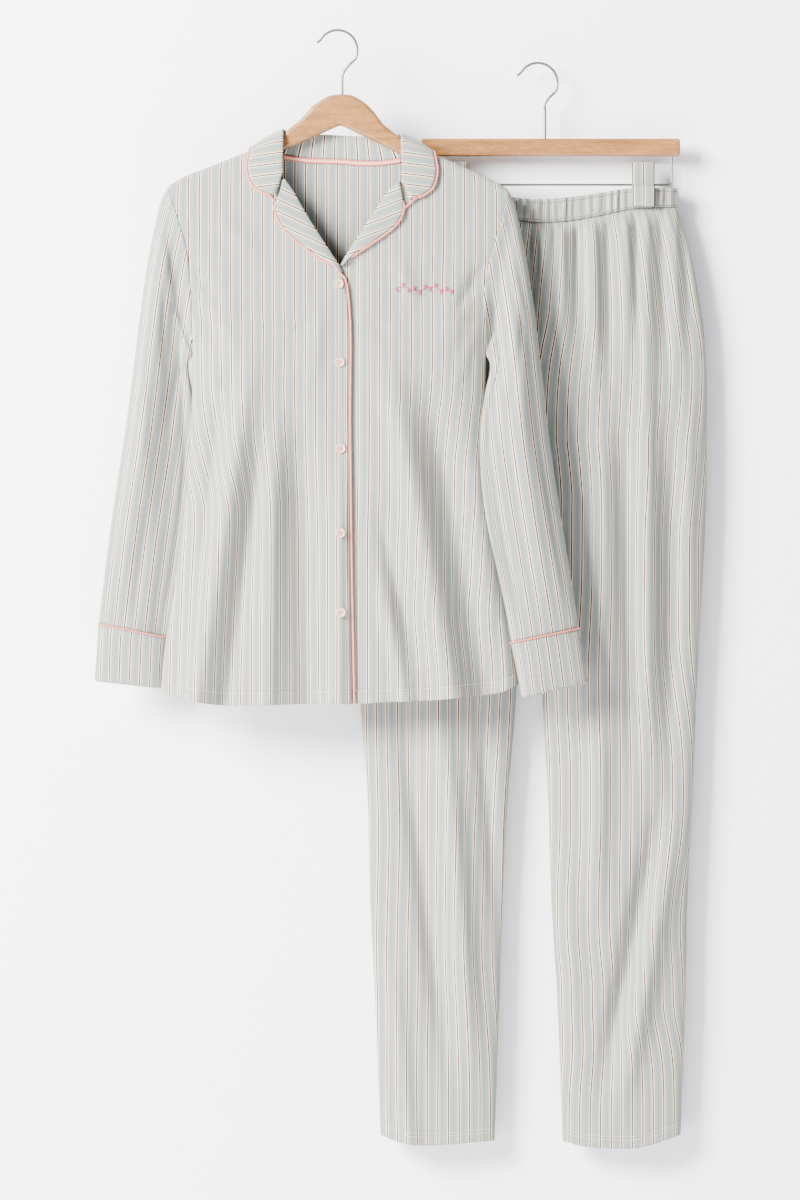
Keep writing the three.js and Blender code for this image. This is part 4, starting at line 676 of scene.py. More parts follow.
# Lapels
# The front facings, turned out along the roll line. Their stripes are the fronts' own, mirrored in that line,
# so they slant; the outer edge stands a little off the shirt.
# along, rightX, rightZ, leftX, leftZ
LAPELS = [
    (0, -67, -193, 74, -193.4), (0.125, -70.5, -200, 75.5, -199), (0.25, -70, -208, 74, -210),
    (0.375, -65, -220, 68, -221), (0.5, -55, -233, 56, -232), (0.625, -41, -245, 43, -241),
    (0.75, -27, -256, 32, -248.5), (0.875, -14, -264.5, 21.5, -256), (1, -3, -272, 13, -263),
]
LAPEL_EDGE_LIFT = 4
LAPEL_COLUMNS = 14
# angle of a panel row and how far along the lapel it is
LAPEL_PLACES = [(62.25, 0), (67.5, 0.125), (75, 0.25), (95, 0.5), (115, 0.75), (135, 1)]


def edge_stations(rows, normals, low, high):
    """Front edge points of a panel between two angles: point, normal, way out of the edge, angle"""
    stations = []
    for k, angle in enumerate(PANEL_ANGLES):
        if low <= angle <= high:
            row, normal = rows[len(LOWER_ROWS) + k], normals[len(LOWER_ROWS) + k][-1]
            outward = row[-1] - row[-3]
            stations.append((row[-1], normal, (outward - normal * outward.dot(normal)).normalized(), angle))
    return stations


def turned_over(point, normal, outward):
    reach = LAYER_LIFT / 2
    bend = []
    for degrees in range(0, 181, 30):
        angle = math.radians(degrees)
        out = SEAM + 0.2 + reach * math.sin(angle)
        bend.append(point + outward * out + normal * reach * (1 - math.cos(angle)))
    return bend


def lapel_grid(side, rows, normals):
    goal_x, goal_z = (1, 2) if side == "right" else (3, 4)
    grid = []
    for point, normal, outward, angle in reversed(edge_stations(rows, normals, 62.25, 135)):
        along = follow(LAPEL_PLACES, angle)
        edge_x, edge_z = follow(LAPELS, along, goal_x), follow(LAPELS, along, goal_z)
        line = turned_over(point, normal, outward)
        for k in range(1, LAPEL_COLUMNS + 1):
            t = k / LAPEL_COLUMNS
            x, z = mix(point.x, edge_x, t), mix(point.z, edge_z, t)
            ripple = 0.5 * math.sin(angle * 0.16 + 2 * t) * t
            lift = mix(LAYER_LIFT + 0.8, LAPEL_EDGE_LIFT, t) + 1.1 * math.sin(math.pi * t) + ripple
            line.append(on_shirt("front", x, z, lift))
        grid.append(line)
    # the top edge runs on under the collar's end
    grid.append([
        top + (top - below).normalized() * 5 + Vector((0, 1.3, 0)) for top, below in zip(grid[-1], grid[-2])
    ])
    return grid


front_normals = {
    side: grid_normals(rows, False, Vector((0, -1, 0)), (30, 30)) for side, rows in fronts.items()
}
lapel_grids = {}
for side, rows in fronts.items():
    grid = lapel_grid(side, rows, front_normals[side])
    lapel_grids[side] = grid
    foot, top = Vector((grid[0][3].x, grid[0][3].z)), Vector((grid[-1][3].x, grid[-1][3].z))
    roll = (top - foot).normalized()

    def mirrored(i, j, grid=grid, foot=foot, roll=roll):
        p = Vector((grid[i][j].x, grid[i][j].z)) - foot
        flat = foot + 2 * roll * p.dot(roll) - p
        return flat.x, -flat.y

    lapel = cloth_piece(f"lapel_{side}_cloth", f"lapel_{side}", grid, (0, -1, 0), (8, 14), mirrored)

# Collar
# One notched collar in a single run: a stand sewn to the neck edge, the fold, and the fall turned down over
# the shoulders. It is cut across the jersey, so the stripes run from the neck edge to the outer edge.
# turn, foldOut, foldWay, foldLift, edgeOut, edgeWay
COLLAR = [
    (0, 0, 28, 3.5, 0, 79), (0.25, 22, 20, 3.5, 31, 66), (0.5, 43, 12.5, 4, 62, 50),
    (0.75, 59, 6.5, 5.5, 87, 31), (1, 67.5, 0, 7, 103, 0), (1.15, 68, -8.6, 6, 106, -9),
    (1.3, 68.3, -17, 5, 108, -16), (1.5, 68.6, -27, 4, 107.5, -27), (1.7, 69, -34, 3.6, 102.5, -41),
    (1.85, 68.4, -40, 3, 90, -54), (2, 68.6, -43, 2.7, 75.5, -63.5),
]
COLLAR_EDGE_LIFT = 4.2
COLLAR_BEND = 1.15
FALL_COLUMNS = 12
COLLAR_SEAM = 0.7
# angle of a panel row and its turn along the collar: 2 at the front end, 1 at the shoulder
COLLAR_TURNS = [(57.1, 2), (50.4, 1.83), (43.2, 1.67), (36, 1.5), (22, 1.2), (13, 1.1), (6, 1.04)]


def drape(x, way, lift):
    """Point on or above the shirt; `way` runs over the shoulder, forward of it negative"""
    quarter = RIDGE_RADIUS * math.pi / 2
    along = abs(way)
    towards = -1 if way < 0 else 1
    if along < quarter:
        angle, reach = along / RIDGE_RADIUS, RIDGE_RADIUS + lift
        drop = (RIDGE_RADIUS - reach * math.cos(angle)) / RIDGE_LEAN
        return Vector((x, towards * reach * math.sin(angle), ridge_z(x) - drop))
    z = ridge_z(x) - (RIDGE_RADIUS + along - quarter) / RIDGE_LEAN
    return Vector((x, towards * (shirt_depth("front" if way < 0 else "back", x, z) + lift), z))


def collar_section(point, outward, turn, hand):
    fold_out, fold_way, lift, edge_out, edge_way = (follow(COLLAR, turn, column) for column in range(1, 6))
    fold_x, edge_x = NECK_CENTRE_X + hand * fold_out, NECK_CENTRE_X + hand * edge_out
    top, outer = drape(fold_x, fold_way, lift), drape(fold_x, fold_way, lift + COLLAR_BEND)
    over = (outer - top).normalized()
    down = drape(edge_x, edge_way, COLLAR_EDGE_LIFT) - top
    down = (down - over * down.dot(over)).normalized()
    inner, outer = top + down * 1.3 - over * COLLAR_BEND, outer + down * 1.3
    start = point + outward * COLLAR_SEAM
    section = [start.lerp(inner, t) for t in (0, 0.2, 0.4, 0.6, 0.8, 1)]
    crest = top + down * 0.4
    section += [crest - over * 0.95, top, crest + over * 0.95, outer]
    for k in range(1, FALL_COLUMNS + 1):
        t = k / FALL_COLUMNS
        lift_here = mix(lift + COLLAR_BEND, COLLAR_EDGE_LIFT, t) + 1.3 * math.sin(math.pi * t)
        section.append(drape(mix(fold_x, edge_x, t), mix(fold_way, edge_way, t), lift_here))
    return section


def collar_grid():
    def front(side, hand):
        return [
            collar_section(point, outward, follow(COLLAR_TURNS, angle), hand)
            for point, _, outward, angle in edge_stations(fronts[side], front_normals[side], 6, 57.1)
        ]

    grid = front("right", -1)
    neck, under = back_rows[-1], back_rows[-3]
    for j in range(NECK_FIRST, NECK_LAST + 1):
        tangent = neck[j + 1] - neck[j - 1]
        normal = tangent.cross(neck[j] - under[j]).normalized()
        outward = tangent.cross(normal).normalized()
        if outward.dot(Vector((NECK_CENTRE_X - neck[j].x, 0, NECK_HALF / 2))) < 0:
            outward = -outward
        turn = follow(NECKLINE, NECK_OUTS[abs(j - NECK_MIDDLE)], 2)
        grid.append(collar_section(neck[j], outward, turn, -1 if j < NECK_MIDDLE else 1))
    return grid + front("left", 1)[::-1]


def evened(rows, passes):
    """Rows smoothed along the neck where they lie behind the shoulders"""
    for _ in range(passes):
        rows = [
            [p.lerp(a.lerp(b, 0.5), 0.5) for a, p, b in zip(rows[i - 1], row, rows[i + 1])]
            if 0 < i < len(rows) - 1 and row[FOLD_COLUMN].y > 2 else row
            for i, row in enumerate(rows)
        ]
    return rows


FOLD_COLUMN = 7
collar_rows = evened(collar_grid(), 14)
collar_run = [0]
for a, b in zip(collar_rows, collar_rows[1:]):
    collar_run.append(collar_run[-1] + (b[FOLD_COLUMN] - a[FOLD_COLUMN]).length)


def collar_place(i, j):
    """Along the fold; on the fronts, where the fold runs straight down, level with it"""
    end, hand = (0, 1) if i < len(collar_rows) / 2 else (-1, -1)
    foot, point = collar_rows[end][FOLD_COLUMN], collar_rows[i][max(j, FOLD_COLUMN)]
    level = collar_run[end] + hand * (point.z - foot.z + 0.12 * abs(point.x - foot.x))
    front_share = ease((-collar_rows[i][FOLD_COLUMN].y - 6) / 8)
    return mix(collar_run[i], level, front_share), 4 * j


middle = len(collar_rows) // 2
collar = cloth_piece("collar_cloth", "collar", collar_rows, (0, 1, 0), (middle, 16), collar_place)

# Edge and cuff piping
# A cord covered with pink cotton, sewn into the edge in one run from the hem up the right front and round
# lapel, collar and lapel, and another into each cuff's seam.
PIPING_RADIUS = 1.3
CUFF_PIPING_RADIUS = 0.9
V_FOOT = (3.4, -279)


def tube(name, points, radius, material, slot, *nodes, ring=False):
    curve = bpy.data.curves.new(name, "CURVE")
    curve.dimensions = "3D"
    curve.bevel_depth = radius * MM
    curve.bevel_resolution = 3
    curve.use_fill_caps = True
    spline = curve.splines.new("POLY")
    spline.points.add(len(points) - 1)
    for made, point in zip(spline.points, points):
        made.co = (*(point * MM), 1)
    spline.use_cyclic_u = ring
    spline.use_smooth = True
    return dress(linked(name, curve), material, slot, *nodes)


def finer(points, steps):
    """Smooth curve through points, with `steps` spans for each one given"""
    last = len(points) - 1
    made = []
    for k in range(last):
        a, b, c, d = (points[min(max(k + n, 0), last)] for n in (-1, 0, 1, 2))
        for s in range(steps):
            t = s / steps
            bend = 2 * a - 5 * b + 4 * c - d + t * (3 * (b - c) + d - a)
            made.append(b + 0.5 * t * (c - a + t * bend))
    return made + [points[-1]]


def beside_edge(rows, clear):
    """Last column of a grid, moved outwards in the cloth's own plane"""
    path = []
    for i, row in enumerate(rows):
        along = (rows[min(i + 1, len(rows) - 1)][-1] - rows[max(i - 1, 0)][-1]).normalized()
        out = row[-1] - row[-2]
        path.append(row[-1] + (out - along * out.dot(along)).normalized() * clear)
    return path


def piping_material():
    made = plain_material("pink piping", PINK, 0.85, Sheen_Weight=0.25)
    tree = made.node_tree
    place = node(tree, "ShaderNodeTexCoord")
    return blended(made, noise(tree, place.outputs["Object"], 260, 2), (196, 96, 78), (220, 128, 108))


PIPING = piping_material()
clear = SEAM + PIPING_RADIUS
above_v = PANEL_ANGLES.index(135) + len(LOWER_ROWS)
front_run = [p + Vector((0, -0.7, 0)) for p in beside_edge(fronts["right"][:above_v - 2], clear)]
v_foot = on_shirt("front", *V_FOOT, LAYER_LIFT + 1)
lapel_up = beside_edge(lapel_grids["right"][:-1], clear)
lapel_down = beside_edge(lapel_grids["left"][:-1], clear)[::-1]
round_collar = beside_edge(collar_rows, clear)
edge_path = front_run + [v_foot] + lapel_up[1:-1] + round_collar[1:-1] + lapel_down[1:]
edge_piping = tube("edge_piping_cord", edge_path, PIPING_RADIUS, PIPING, "piping", "piping_edge")

# Buttons
# Five cream-pink buttons with a sunk face and four holes, sewn through with pale thread down the right front.
# x, z
BUTTON_PLACES = [(1.7, -291), (3, -381), (4, -480), (4, -577), (4.4, -668)]
BUTTON_THICK = 2.6
# the holes' distance from the centre, across and up
HOLE_OUT = 1.25
BUTTON = plain_material("button", (196, 160, 144), 0.3, Coat_Weight=0.35, Coat_Roughness=0.2)
# the holes are drawn as flat dark discs: their colour is painted shade of each hole's depth
HOLE_SHADE = plain_material("button hole shade", (120, 66, 56), 0.9)
BUTTON_THREAD = plain_material("button thread", (206, 110, 94), 0.8)
BUTTON_PROFILE = [
    (0, 1.3), (3.6, 1.3), (4.8, 1.2), (5.55, 0.8), (5.8, 0.1), (5.72, -0.7), (5.4, -1.15), (4.9, -1.3),
    (4.35, -1.2), (3.9, -0.9), (3.5, -0.72), (2, -0.7), (0, -0.7),
]


def turned_shape(name, profile, centre):
    """Surface turned round a line along Y, from (radius, y) pairs"""
    turns = [2 * math.pi * k / 40 for k in range(40)]
    rows = [
        [centre + Vector((radius * math.cos(a), y, radius * math.sin(a))) for a in turns]
        for radius, y in profile
    ]
    return grid_object(name, rows, (1, 0, 0), (4, 0), closed=True)


FACING_VIEWER = Matrix.Rotation(math.pi / 2, 4, "X")


def four_hole_shades(name, centre):
    """Dark discs of painted shade facing the viewer where a button's four holes are, one in each quarter of
    its face
    """
    radius, depth = 0.62 * MM, 0.1 * MM
    bm = bmesh.new()
    for x, z in ((1, 1), (-1, 1), (-1, -1), (1, -1)):
        place = Matrix.Translation((centre + Vector((x, 0, z)) * HOLE_OUT) * MM)
        bmesh.ops.create_cone(
            bm, cap_ends=True, segments=12, radius1=radius, radius2=radius, depth=depth,
            matrix=place @ FACING_VIEWER,
        )
    return dress(mesh_object(name, bm), HOLE_SHADE, "button")


button_parts = []
for k, (x, z) in enumerate(BUTTON_PLACES, 1):
    centre = on_shirt("front", x, z, WALL / 2 + BUTTON_THICK / 2 + 0.1)
    button = turned_shape(f"button_{k}_shape", BUTTON_PROFILE, centre)
    dress(button, BUTTON, "button", f"button_{k}")
    face = centre + Vector((0, -0.7, 0))
    button_parts += [button, four_hole_shades(f"button_{k}_hole_shades", face)]
    # the strands cross, the second one over the first
    for n, (rise, proud) in enumerate(((1, 0.25), (-1, 0.4)), 1):
        path = [face + Vector((s * HOLE_OUT, -proud, s * rise * HOLE_OUT)) for s in (-1, 0, 1)]
        button_parts.append(tube(f"button_{k}_thread_{n}", path, 0.32, BUTTON_THREAD, "button"))

# Placket stitching and a stitched sprig
# A row of thread runs down the right front beside the piping. On the left of the chest there is a small
# running sprig, sewn by hand in pink thread.
PINK_THREAD = plain_material("pink thread", (164, 44, 92), 0.75)
placket = [
    on_shirt("front", follow(FRONT_EDGES, z, 1) - 5, z, WALL / 2 + 0.2) for z in range(-768, -300, 4)
]
placket_row = stitches("placket_stitch", placket, TOWARDS_VIEWER, THREAD)
SPRIG_LEFT, SPRIG_RIGHT, SPRIG_Z = 66, 134, -297
LEAF_PITCH = 6.2


def on_sprig(x, z):
    return on_shirt("front", x, z, WALL / 2 + 0.45)


def stem_z(x):
    return SPRIG_Z + 2.2 * math.sin((x - SPRIG_LEFT) / 5.4)


vine = [on_sprig(x, stem_z(x)) for x in (mix(SPRIG_LEFT, SPRIG_RIGHT, k / 80) for k in range(81))]
sprig = [stitches("sprig_stem", vine, TOWARDS_VIEWER, PINK_THREAD, length=2.4, gap=0.15, width=0.9)]
for k in range(11):
    x = SPRIG_LEFT + 3 + LEAF_PITCH * k
    way = 1 if k % 2 else -1
    for n, (lean, width) in enumerate(((2.6, 1.5), (-0.6, 1.3)), 1):
        leaf = [on_sprig(x + lean * t, stem_z(x) + way * (0.8 + 4.4 * t)) for t in (0, 0.5, 1)]
        name = f"sprig_leaf_{k + 1}_{n}"
        sprig.append(stitches(name, leaf, TOWARDS_VIEWER, PINK_THREAD, length=4.2, gap=0.3, width=width))

# Sleeves and cuffs
# Long set-in sleeves of the same jersey, pressed flat by their own weight, with the stripes along them. Each
# ends in a turned-back cuff, sewn on with piping in the seam.
# outX, outY, outZ, inX, inY, inZ, depth
SLEEVE_RIGHT = [
    (-203, 0.5, -196, -169.6, 0, -368, 11), (-210, 1, -226, -171.6, 0.6, -372, 14),
    (-218, 2, -266, -172.6, 2.4, -379, 15), (-226, 4, -320, -171.6, 7, -393, 16),
    (-235, 8, -390, -167, 14, -422, 15), (-244.5, 11, -460, -163.5, 19, -478, 14),
    (-255, 12, -528, -168, 21, -543, 13), (-263.5, 12, -588, -177, 21, -605, 12),
    (-270, 12, -640, -187, 20, -656, 11.5), (-274.5, 11, -681, -195.5, 19, -697, 11),
]
# outX, outY, outZ, inX, inY, inZ, depth
SLEEVE_LEFT = [
    (203, -0.5, -199, 173.6, 0, -368, 11), (211, -1, -235, 175.6, -0.6, -372, 14),
    (218, -2, -272, 176.8, -2.4, -379, 15), (226, -4, -325, 175.8, -8, -393, 16),
    (234, -7, -393, 169, -17, -424, 15), (241.5, -9, -462, 164, -24, -482, 14),
    (252, -10, -535, 170, -26, -552, 13), (262.5, -10, -600, 183, -26, -615, 12),
    (270.5, -10, -648, 193, -25, -662, 11.5), (276, -10, -686, 200, -24, -702, 11),
]
# outX, outY, outZ, inX, inY, inZ, depth
CUFF_RIGHT = [
    (-274.6, 11, -681.6, -195.7, 19, -697.6, 11.2), (-278.6, 11, -747, -200, 19, -756, 11),
]
# outX, outY, outZ, inX, inY, inZ, depth
CUFF_LEFT = [
    (276.1, -10, -686.6, 200.2, -24, -702.6, 11.2), (286.2, -10, -749, 211.4, -24, -766, 11),
]
# from, to, startAngle, endAngle, width, height
SLEEVE_RIGHT_FOLDS = [
    (0, 0.55, 60, 78, 20, 3.5), (0.1, 0.95, 112, 100, 20, -3.5), (0.45, 1, 45, 60, 16, 2.5),
    (0.1, 0.8, 262, 280, 22, -4),
]
# from, to, startAngle, endAngle, width, height
SLEEVE_LEFT_FOLDS = [
    (0, 0.85, 105, 62, 18, 4), (0, 0.6, 138, 120, 14, -4), (0.35, 1, 88, 100, 18, -3),
    (0.1, 0.8, 250, 275, 22, -4),
]
# Smaller creases across and along a sleeve: from, to, startAngle, endAngle, width, height
SLEEVE_CREASES = {
    "right": [
        (-0.2, 1.2, 136, 142, 30, -12), (0.0, 0.9, 54, 62, 22, 6.5),
        (0.02, 0.30, 130, 95, 9, -2.8), (0.06, 0.42, 152, 128, 8, 2.5), (0.36, 0.62, 140, 90, 9, -2.5),
        (0.40, 0.70, 40, 70, 10, 2.2), (0.55, 0.98, 128, 136, 8, 2.5), (0.2, 0.5, 70, 95, 8, -2),
        (0.1, 0.5, 230, 262, 10, -2.8), (0.45, 0.95, 255, 248, 10, 2.5), (0.70, 0.99, 82, 88, 9, -2.2),
    ],
    "left": [
        (-0.3, 0.62, 140, 144, 30, -12), (0.4, 1.0, 144, 144, 24, -7), (0.2, 1.0, 84, 76, 20, 6.5),
        (0.02, 0.28, 128, 92, 9, -3.1), (0.05, 0.40, 155, 130, 8, 2.8), (0.33, 0.60, 60, 102, 9, -2.5),
        (0.38, 0.66, 130, 88, 9, 2.5), (0.55, 0.98, 58, 50, 9, 2.5), (0.60, 0.98, 130, 124, 9, -2.5),
        (0.1, 0.5, 228, 262, 10, -2.8), (0.45, 0.95, 285, 270, 10, 2.5), (0.15, 0.45, 72, 50, 8, 2),
    ],
}
SLEEVE_ANGLES = [180 + 5 * k for k in range(36)] + [5 * k for k in range(36)]
SLEEVE_FINE = 8
# power that flattens the pressed tube's round
FLATNESS = 0.85
# cloth taken up by the round of the tube's edges
TUBE_EDGE = 7
UNDERARM_FULL = 4.5


def along_folds(folds, down, angle):
    total = 0
    for begin, end, start_angle, end_angle, width, height in folds:
        t = (down - begin) / (end - begin)
        centre = mix(start_angle, end_angle, clamp(t))
        off = (angle - centre) / width
        if abs(off) < 3:
            total += height * ease(t * 3) * ease((1 - t) * 3) * bump(off, 1)
    return total


def flattened(turn, power):
    """Sine of a turn, its round flattened by a power below 1"""
    return math.copysign(abs(math.sin(turn)) ** power, math.sin(turn))


def tube_ring(row, folds, down):
    out_x, out_y, out_z, in_x, in_y, in_z, depth = row
    ring = []
    for angle in SLEEVE_ANGLES:
        turn = math.radians(angle)
        t = (1 - math.cos(turn)) / 2
        swell = depth + along_folds(folds, down, angle)
        flat = flattened(turn, FLATNESS) if angle % 180 else 0
        ring.append(Vector((mix(out_x, in_x, t), mix(out_y, in_y, t) - flat * swell, mix(out_z, in_z, t))))
    return ring


def between_rings(rings, steps):
    columns = [finer([ring[j] for ring in rings], steps) for j in range(len(rings[0]))]
    return [[column[i] for column in columns] for i in range(len(columns[0]))]


def beside_line(point, line):
    """Distance in the front view from a line, and how far along it the nearest place is"""
    best = None
    run = 0
    last = len(line) - 2
    for k, (a, b) in enumerate(zip(line, line[1:])):
        step = b - a
        t = (point - a).dot(step) / step.length_squared
        t = clamp(t, 0 if k else -20, 1 if k < last else 20)
        off = (point - a - step * t).length
        if best is None or off < best[0]:
            best = (off, run + t * step.length)
        run += step.length
    return best


def tube_places(rings, every=1):
    """Flat places of a pressed tube: across from its outer edge, and down along it"""
    edge = SLEEVE_ANGLES.index(0)
    line = [Vector((ring[edge].x, ring[edge].z)) for ring in rings[::every]]
    rise = [abs(math.sin(math.radians(angle))) ** FLATNESS for angle in SLEEVE_ANGLES]
    places = []
    for ring in rings:
        off = [beside_line(Vector((p.x, p.z)), line) for p in ring]
        total = [0]
        for j in range(len(ring)):
            k = (j + 1) % len(ring)
            step = (off[k][0] - off[j][0]) * (1 if j >= edge else -1)
            total.append(total[-1] + step + TUBE_EDGE * abs(rise[k] - rise[j]))
        places.append([(total[j] - total[edge], off[j % len(ring)][1]) for j in range(len(ring) + 1)])
    return places


sleeve_tables = {
    "right": (SLEEVE_RIGHT, CUFF_RIGHT, SLEEVE_RIGHT_FOLDS),
    "left": (SLEEVE_LEFT, CUFF_LEFT, SLEEVE_LEFT_FOLDS),
}
for side, (table, cuff_table, folds) in sleeve_tables.items():
    way_out = (-1 if side == "right" else 1, 0, 0)
    edge = SLEEVE_ANGLES.index(0)
    front_angles, back_angles = SLEEVE_ANGLES[edge:], [360 - a for a in SLEEVE_ANGLES[:edge]]
    seam = armhole(side, "back", back_angles) + armhole(side, "front", front_angles)
    head = [point + across * SEAM / 2 for point, _, across in seam]
    rings = [head] + [tube_ring(row, folds, (k + 1) / len(table)) for k, row in enumerate(table)]
    rings = between_rings(rings, SLEEVE_FINE)
    normals = grid_normals(rings, True, Vector(way_out), (30, edge))
    for i, ring in enumerate(rings):
        down = i / (len(rings) - 1)
        for j, angle in enumerate(SLEEVE_ANGLES):
            # full at the armhole seam and at the underarm, creased between the tube's edges
            flank, inner = abs(math.sin(math.radians(angle))), math.sin(math.radians(angle / 2)) ** 8
            puff = 0.9 * bump(down - 0.03, 0.03) * flank + UNDERARM_FULL * bump(down - 0.17, 0.13) * inner
            creases = along_folds(SLEEVE_CREASES[side], down, angle) * ease(down / 0.08) * flank ** 0.7
            rings[i][j] = ring[j] + normals[i][j] * (creases + puff)
    places = tube_places(rings)
    sleeve = cloth_piece(
        f"sleeve_{side}_cloth", f"sleeve_{side}", rings, way_out, (30, edge),
        lambda i, j, places=places: places[i][j], closed=True,
    )

    cuff_rings = between_rings([tube_ring(row, [], 0) for row in cuff_table], 14)
    cuff_normals = grid_normals(cuff_rings, True, Vector(way_out), (3, edge))
    for i, ring in enumerate(cuff_rings):
        down = i / (len(cuff_rings) - 1)
        for j, angle in enumerate(SLEEVE_ANGLES):
            # the cuff waves a little, dents at its rim and swells beside its seam
            wave = 0.8 * math.sin(math.radians(angle * 3 + 70)) * down
            rim = -1.1 * ease((down - 0.93) / 0.07) + 0.8 * bump(down - 0.1, 0.08)
            cuff_rings[i][j] = ring[j] + cuff_normals[i][j] * (wave + rim)
    cuff_places = tube_places(cuff_rings, len(cuff_rings) - 1)
    cuff = cloth_piece(
        f"cuff_{side}_cloth", f"cuff_{side}", cuff_rings, way_out, (3, edge),
        lambda i, j, places=cuff_places: (places[i][j][0] + 4, places[i][j][1]), closed=True,
    )
    lift = WALL / 2 + CUFF_PIPING_RADIUS + 0.3
    cuff_path = [p + n * lift for p, n in zip(cuff_rings[0], cuff_normals[0])]
    cuff_cord = tube(
        f"cuff_{side}_piping_cord", cuff_path, CUFF_PIPING_RADIUS, PIPING, "piping",
        f"piping_cuff_{side}", ring=True,
    )

# Trouser legs
# Two legs of the same jersey, joined at the inseams and at the centre front and back, gathered into the
# waistband and hanging in long soft folds to double-stitched hems.
TROUSER_Y = 44.7
WAIST_CENTRE_X = 245.2
CROTCH_Z = -478
# z, rightOut, rightIn, leftIn, leftOut, depth
LEGS = [
    (-199, 98.9, 245, 245, 391.5, 11), (-240, 86, 242.5, 242.5, 404.5, 14.5),
    (-320, 63, 236.5, 236.5, 420, 17), (-380, 50, 231, 231, 425.5, 18), (-440, 40, 225, 225, 426.5, 18),
    (-470, 36, 221.6, 221.6, 426.5, 18), (-488, 34, 218.6, 223.4, 426.3, 18),
    (-540, 30, 214.5, 225.5, 425.5, 18), (-640, 27, 210, 230.5, 421, 17),
    (-762, 26.5, 206, 237, 414.6, 16), (-884, 35, 196, 243.6, 409.8, 15),
    (-1000, 38, 190, 247.5, 404, 15), (-1120, 44, 186.4, 254.7, 401.4, 14),
    (-1280, 50, 181, 260.6, 396, 13),
]
# x, top, seam
WAIST_EDGE = [
    (97, -177.4, -199), (150, -178, -201.4), (182, -183, -208), (210, -189.4, -214),
    (240, -190.4, -217), (274, -187.6, -214), (305, -183, -208.6), (340, -178, -201.4),
    (393, -177.4, -198.6),
]
# x, z
LEG_HEMS = [
    (48, -1272), (74, -1281), (103.5, -1284), (181, -1279), (261, -1280), (282, -1285), (322, -1287.5),
    (352, -1286), (397, -1272),
]
# topX, topZ, endX, endZ, width, height, runsOut
LEG_BACK_FOLDS = [
    (120, -195, 84, -520, 14, 3.5, 0), (168, -200, 150, -600, 14, 3.5, 0),
    (212, -205, 196, -470, 11, 3, 0), (276, -205, 282, -500, 12, 3, 0),
    (322, -200, 336, -620, 13, 3.5, 0), (366, -195, 394, -560, 12, 3.5, 0),
    (100, -560, 90, -1290, 18, 4.5, 1), (146, -700, 134, -1290, 15, -4, 1),
    (340, -620, 334, -1290, 18, 4.5, 1), (290, -800, 292, -1290, 14, -4, 1),
]
# Gathers that fan out below the waistband, then the long soft folds of thighs and shins, read in the same way
LEG_FRONT_FOLDS = [
    (258, -110, 260, -420, 7, 6.6, 0), (276, -110, 279, -400, 6, -6.2, 0),
    (293, -110, 298, -460, 7, 6.8, 0), (309, -110, 314, -440, 6, -6.2, 0),
    (331, -110, 336, -400, 6, 5.9, 0), (343, -110, 346, -400, 5, -6.2, 0),
    (355, -110, 358, -560, 8, 7.8, 0), (368, -110, 382, -440, 6, -6.2, 0),
    (382, -110, 396, -420, 6, 5.9, 0), (394, -110, 410, -400, 5, -5.6, 0),
    (238, -110, 240, -380, 7, 5.6, 0), (222, -110, 222, -380, 7, -5.6, 0),
    (150, -110, 140, -420, 8, 6.2, 0), (124, -110, 112, -420, 8, -6.2, 0),
    (188, -110, 180, -400, 8, 5.6, 0), (302, -380, 312, -780, 12, 8.6, 0),
    (328, -380, 342, -900, 9, -7.8, 0), (357, -380, 358, -880, 11, 10.9, 0),
    (386, -380, 384, -920, 11, -9.4, 0), (410, -380, 402, -720, 8, 4.7, 0),
    (305, -720, 296, -1060, 13, 8.6, 0), (386, -830, 294, -1275, 12, -12.5, 0),
    (398, -880, 318, -1285, 13, 11.8, 0), (262, -900, 276, -1250, 11, 4.7, 0),
    (112, -560, 118, -900, 14, 6.2, 0), (66, -720, 136, -1262, 12, -10.9, 0),
    (118, -720, 162, -1262, 13, 11.8, 0), (158, -700, 192, -1100, 10, -9.4, 0),
    (60, -1040, 84, -1290, 10, 6.2, 1), (236, -470, 300, -560, 8, -2.5, 0),
]
GATHER_PITCH = 10.2
LEG_FLATNESS = 0.8
LEG_STEPS = 128
# levels that the rows run through, and how many rows lie over the hips
WAIST_LEVEL = -199
HIP_LEVEL = -320
SHIN_LEVEL = -1120
LEG_END = -1280
HIP_ROWS = 26


def openness(z):
    """How much of a row near the centre seam is open, from 0 below the crotch to 1 well above"""
    return ease((z - CROTCH_Z) / 95)


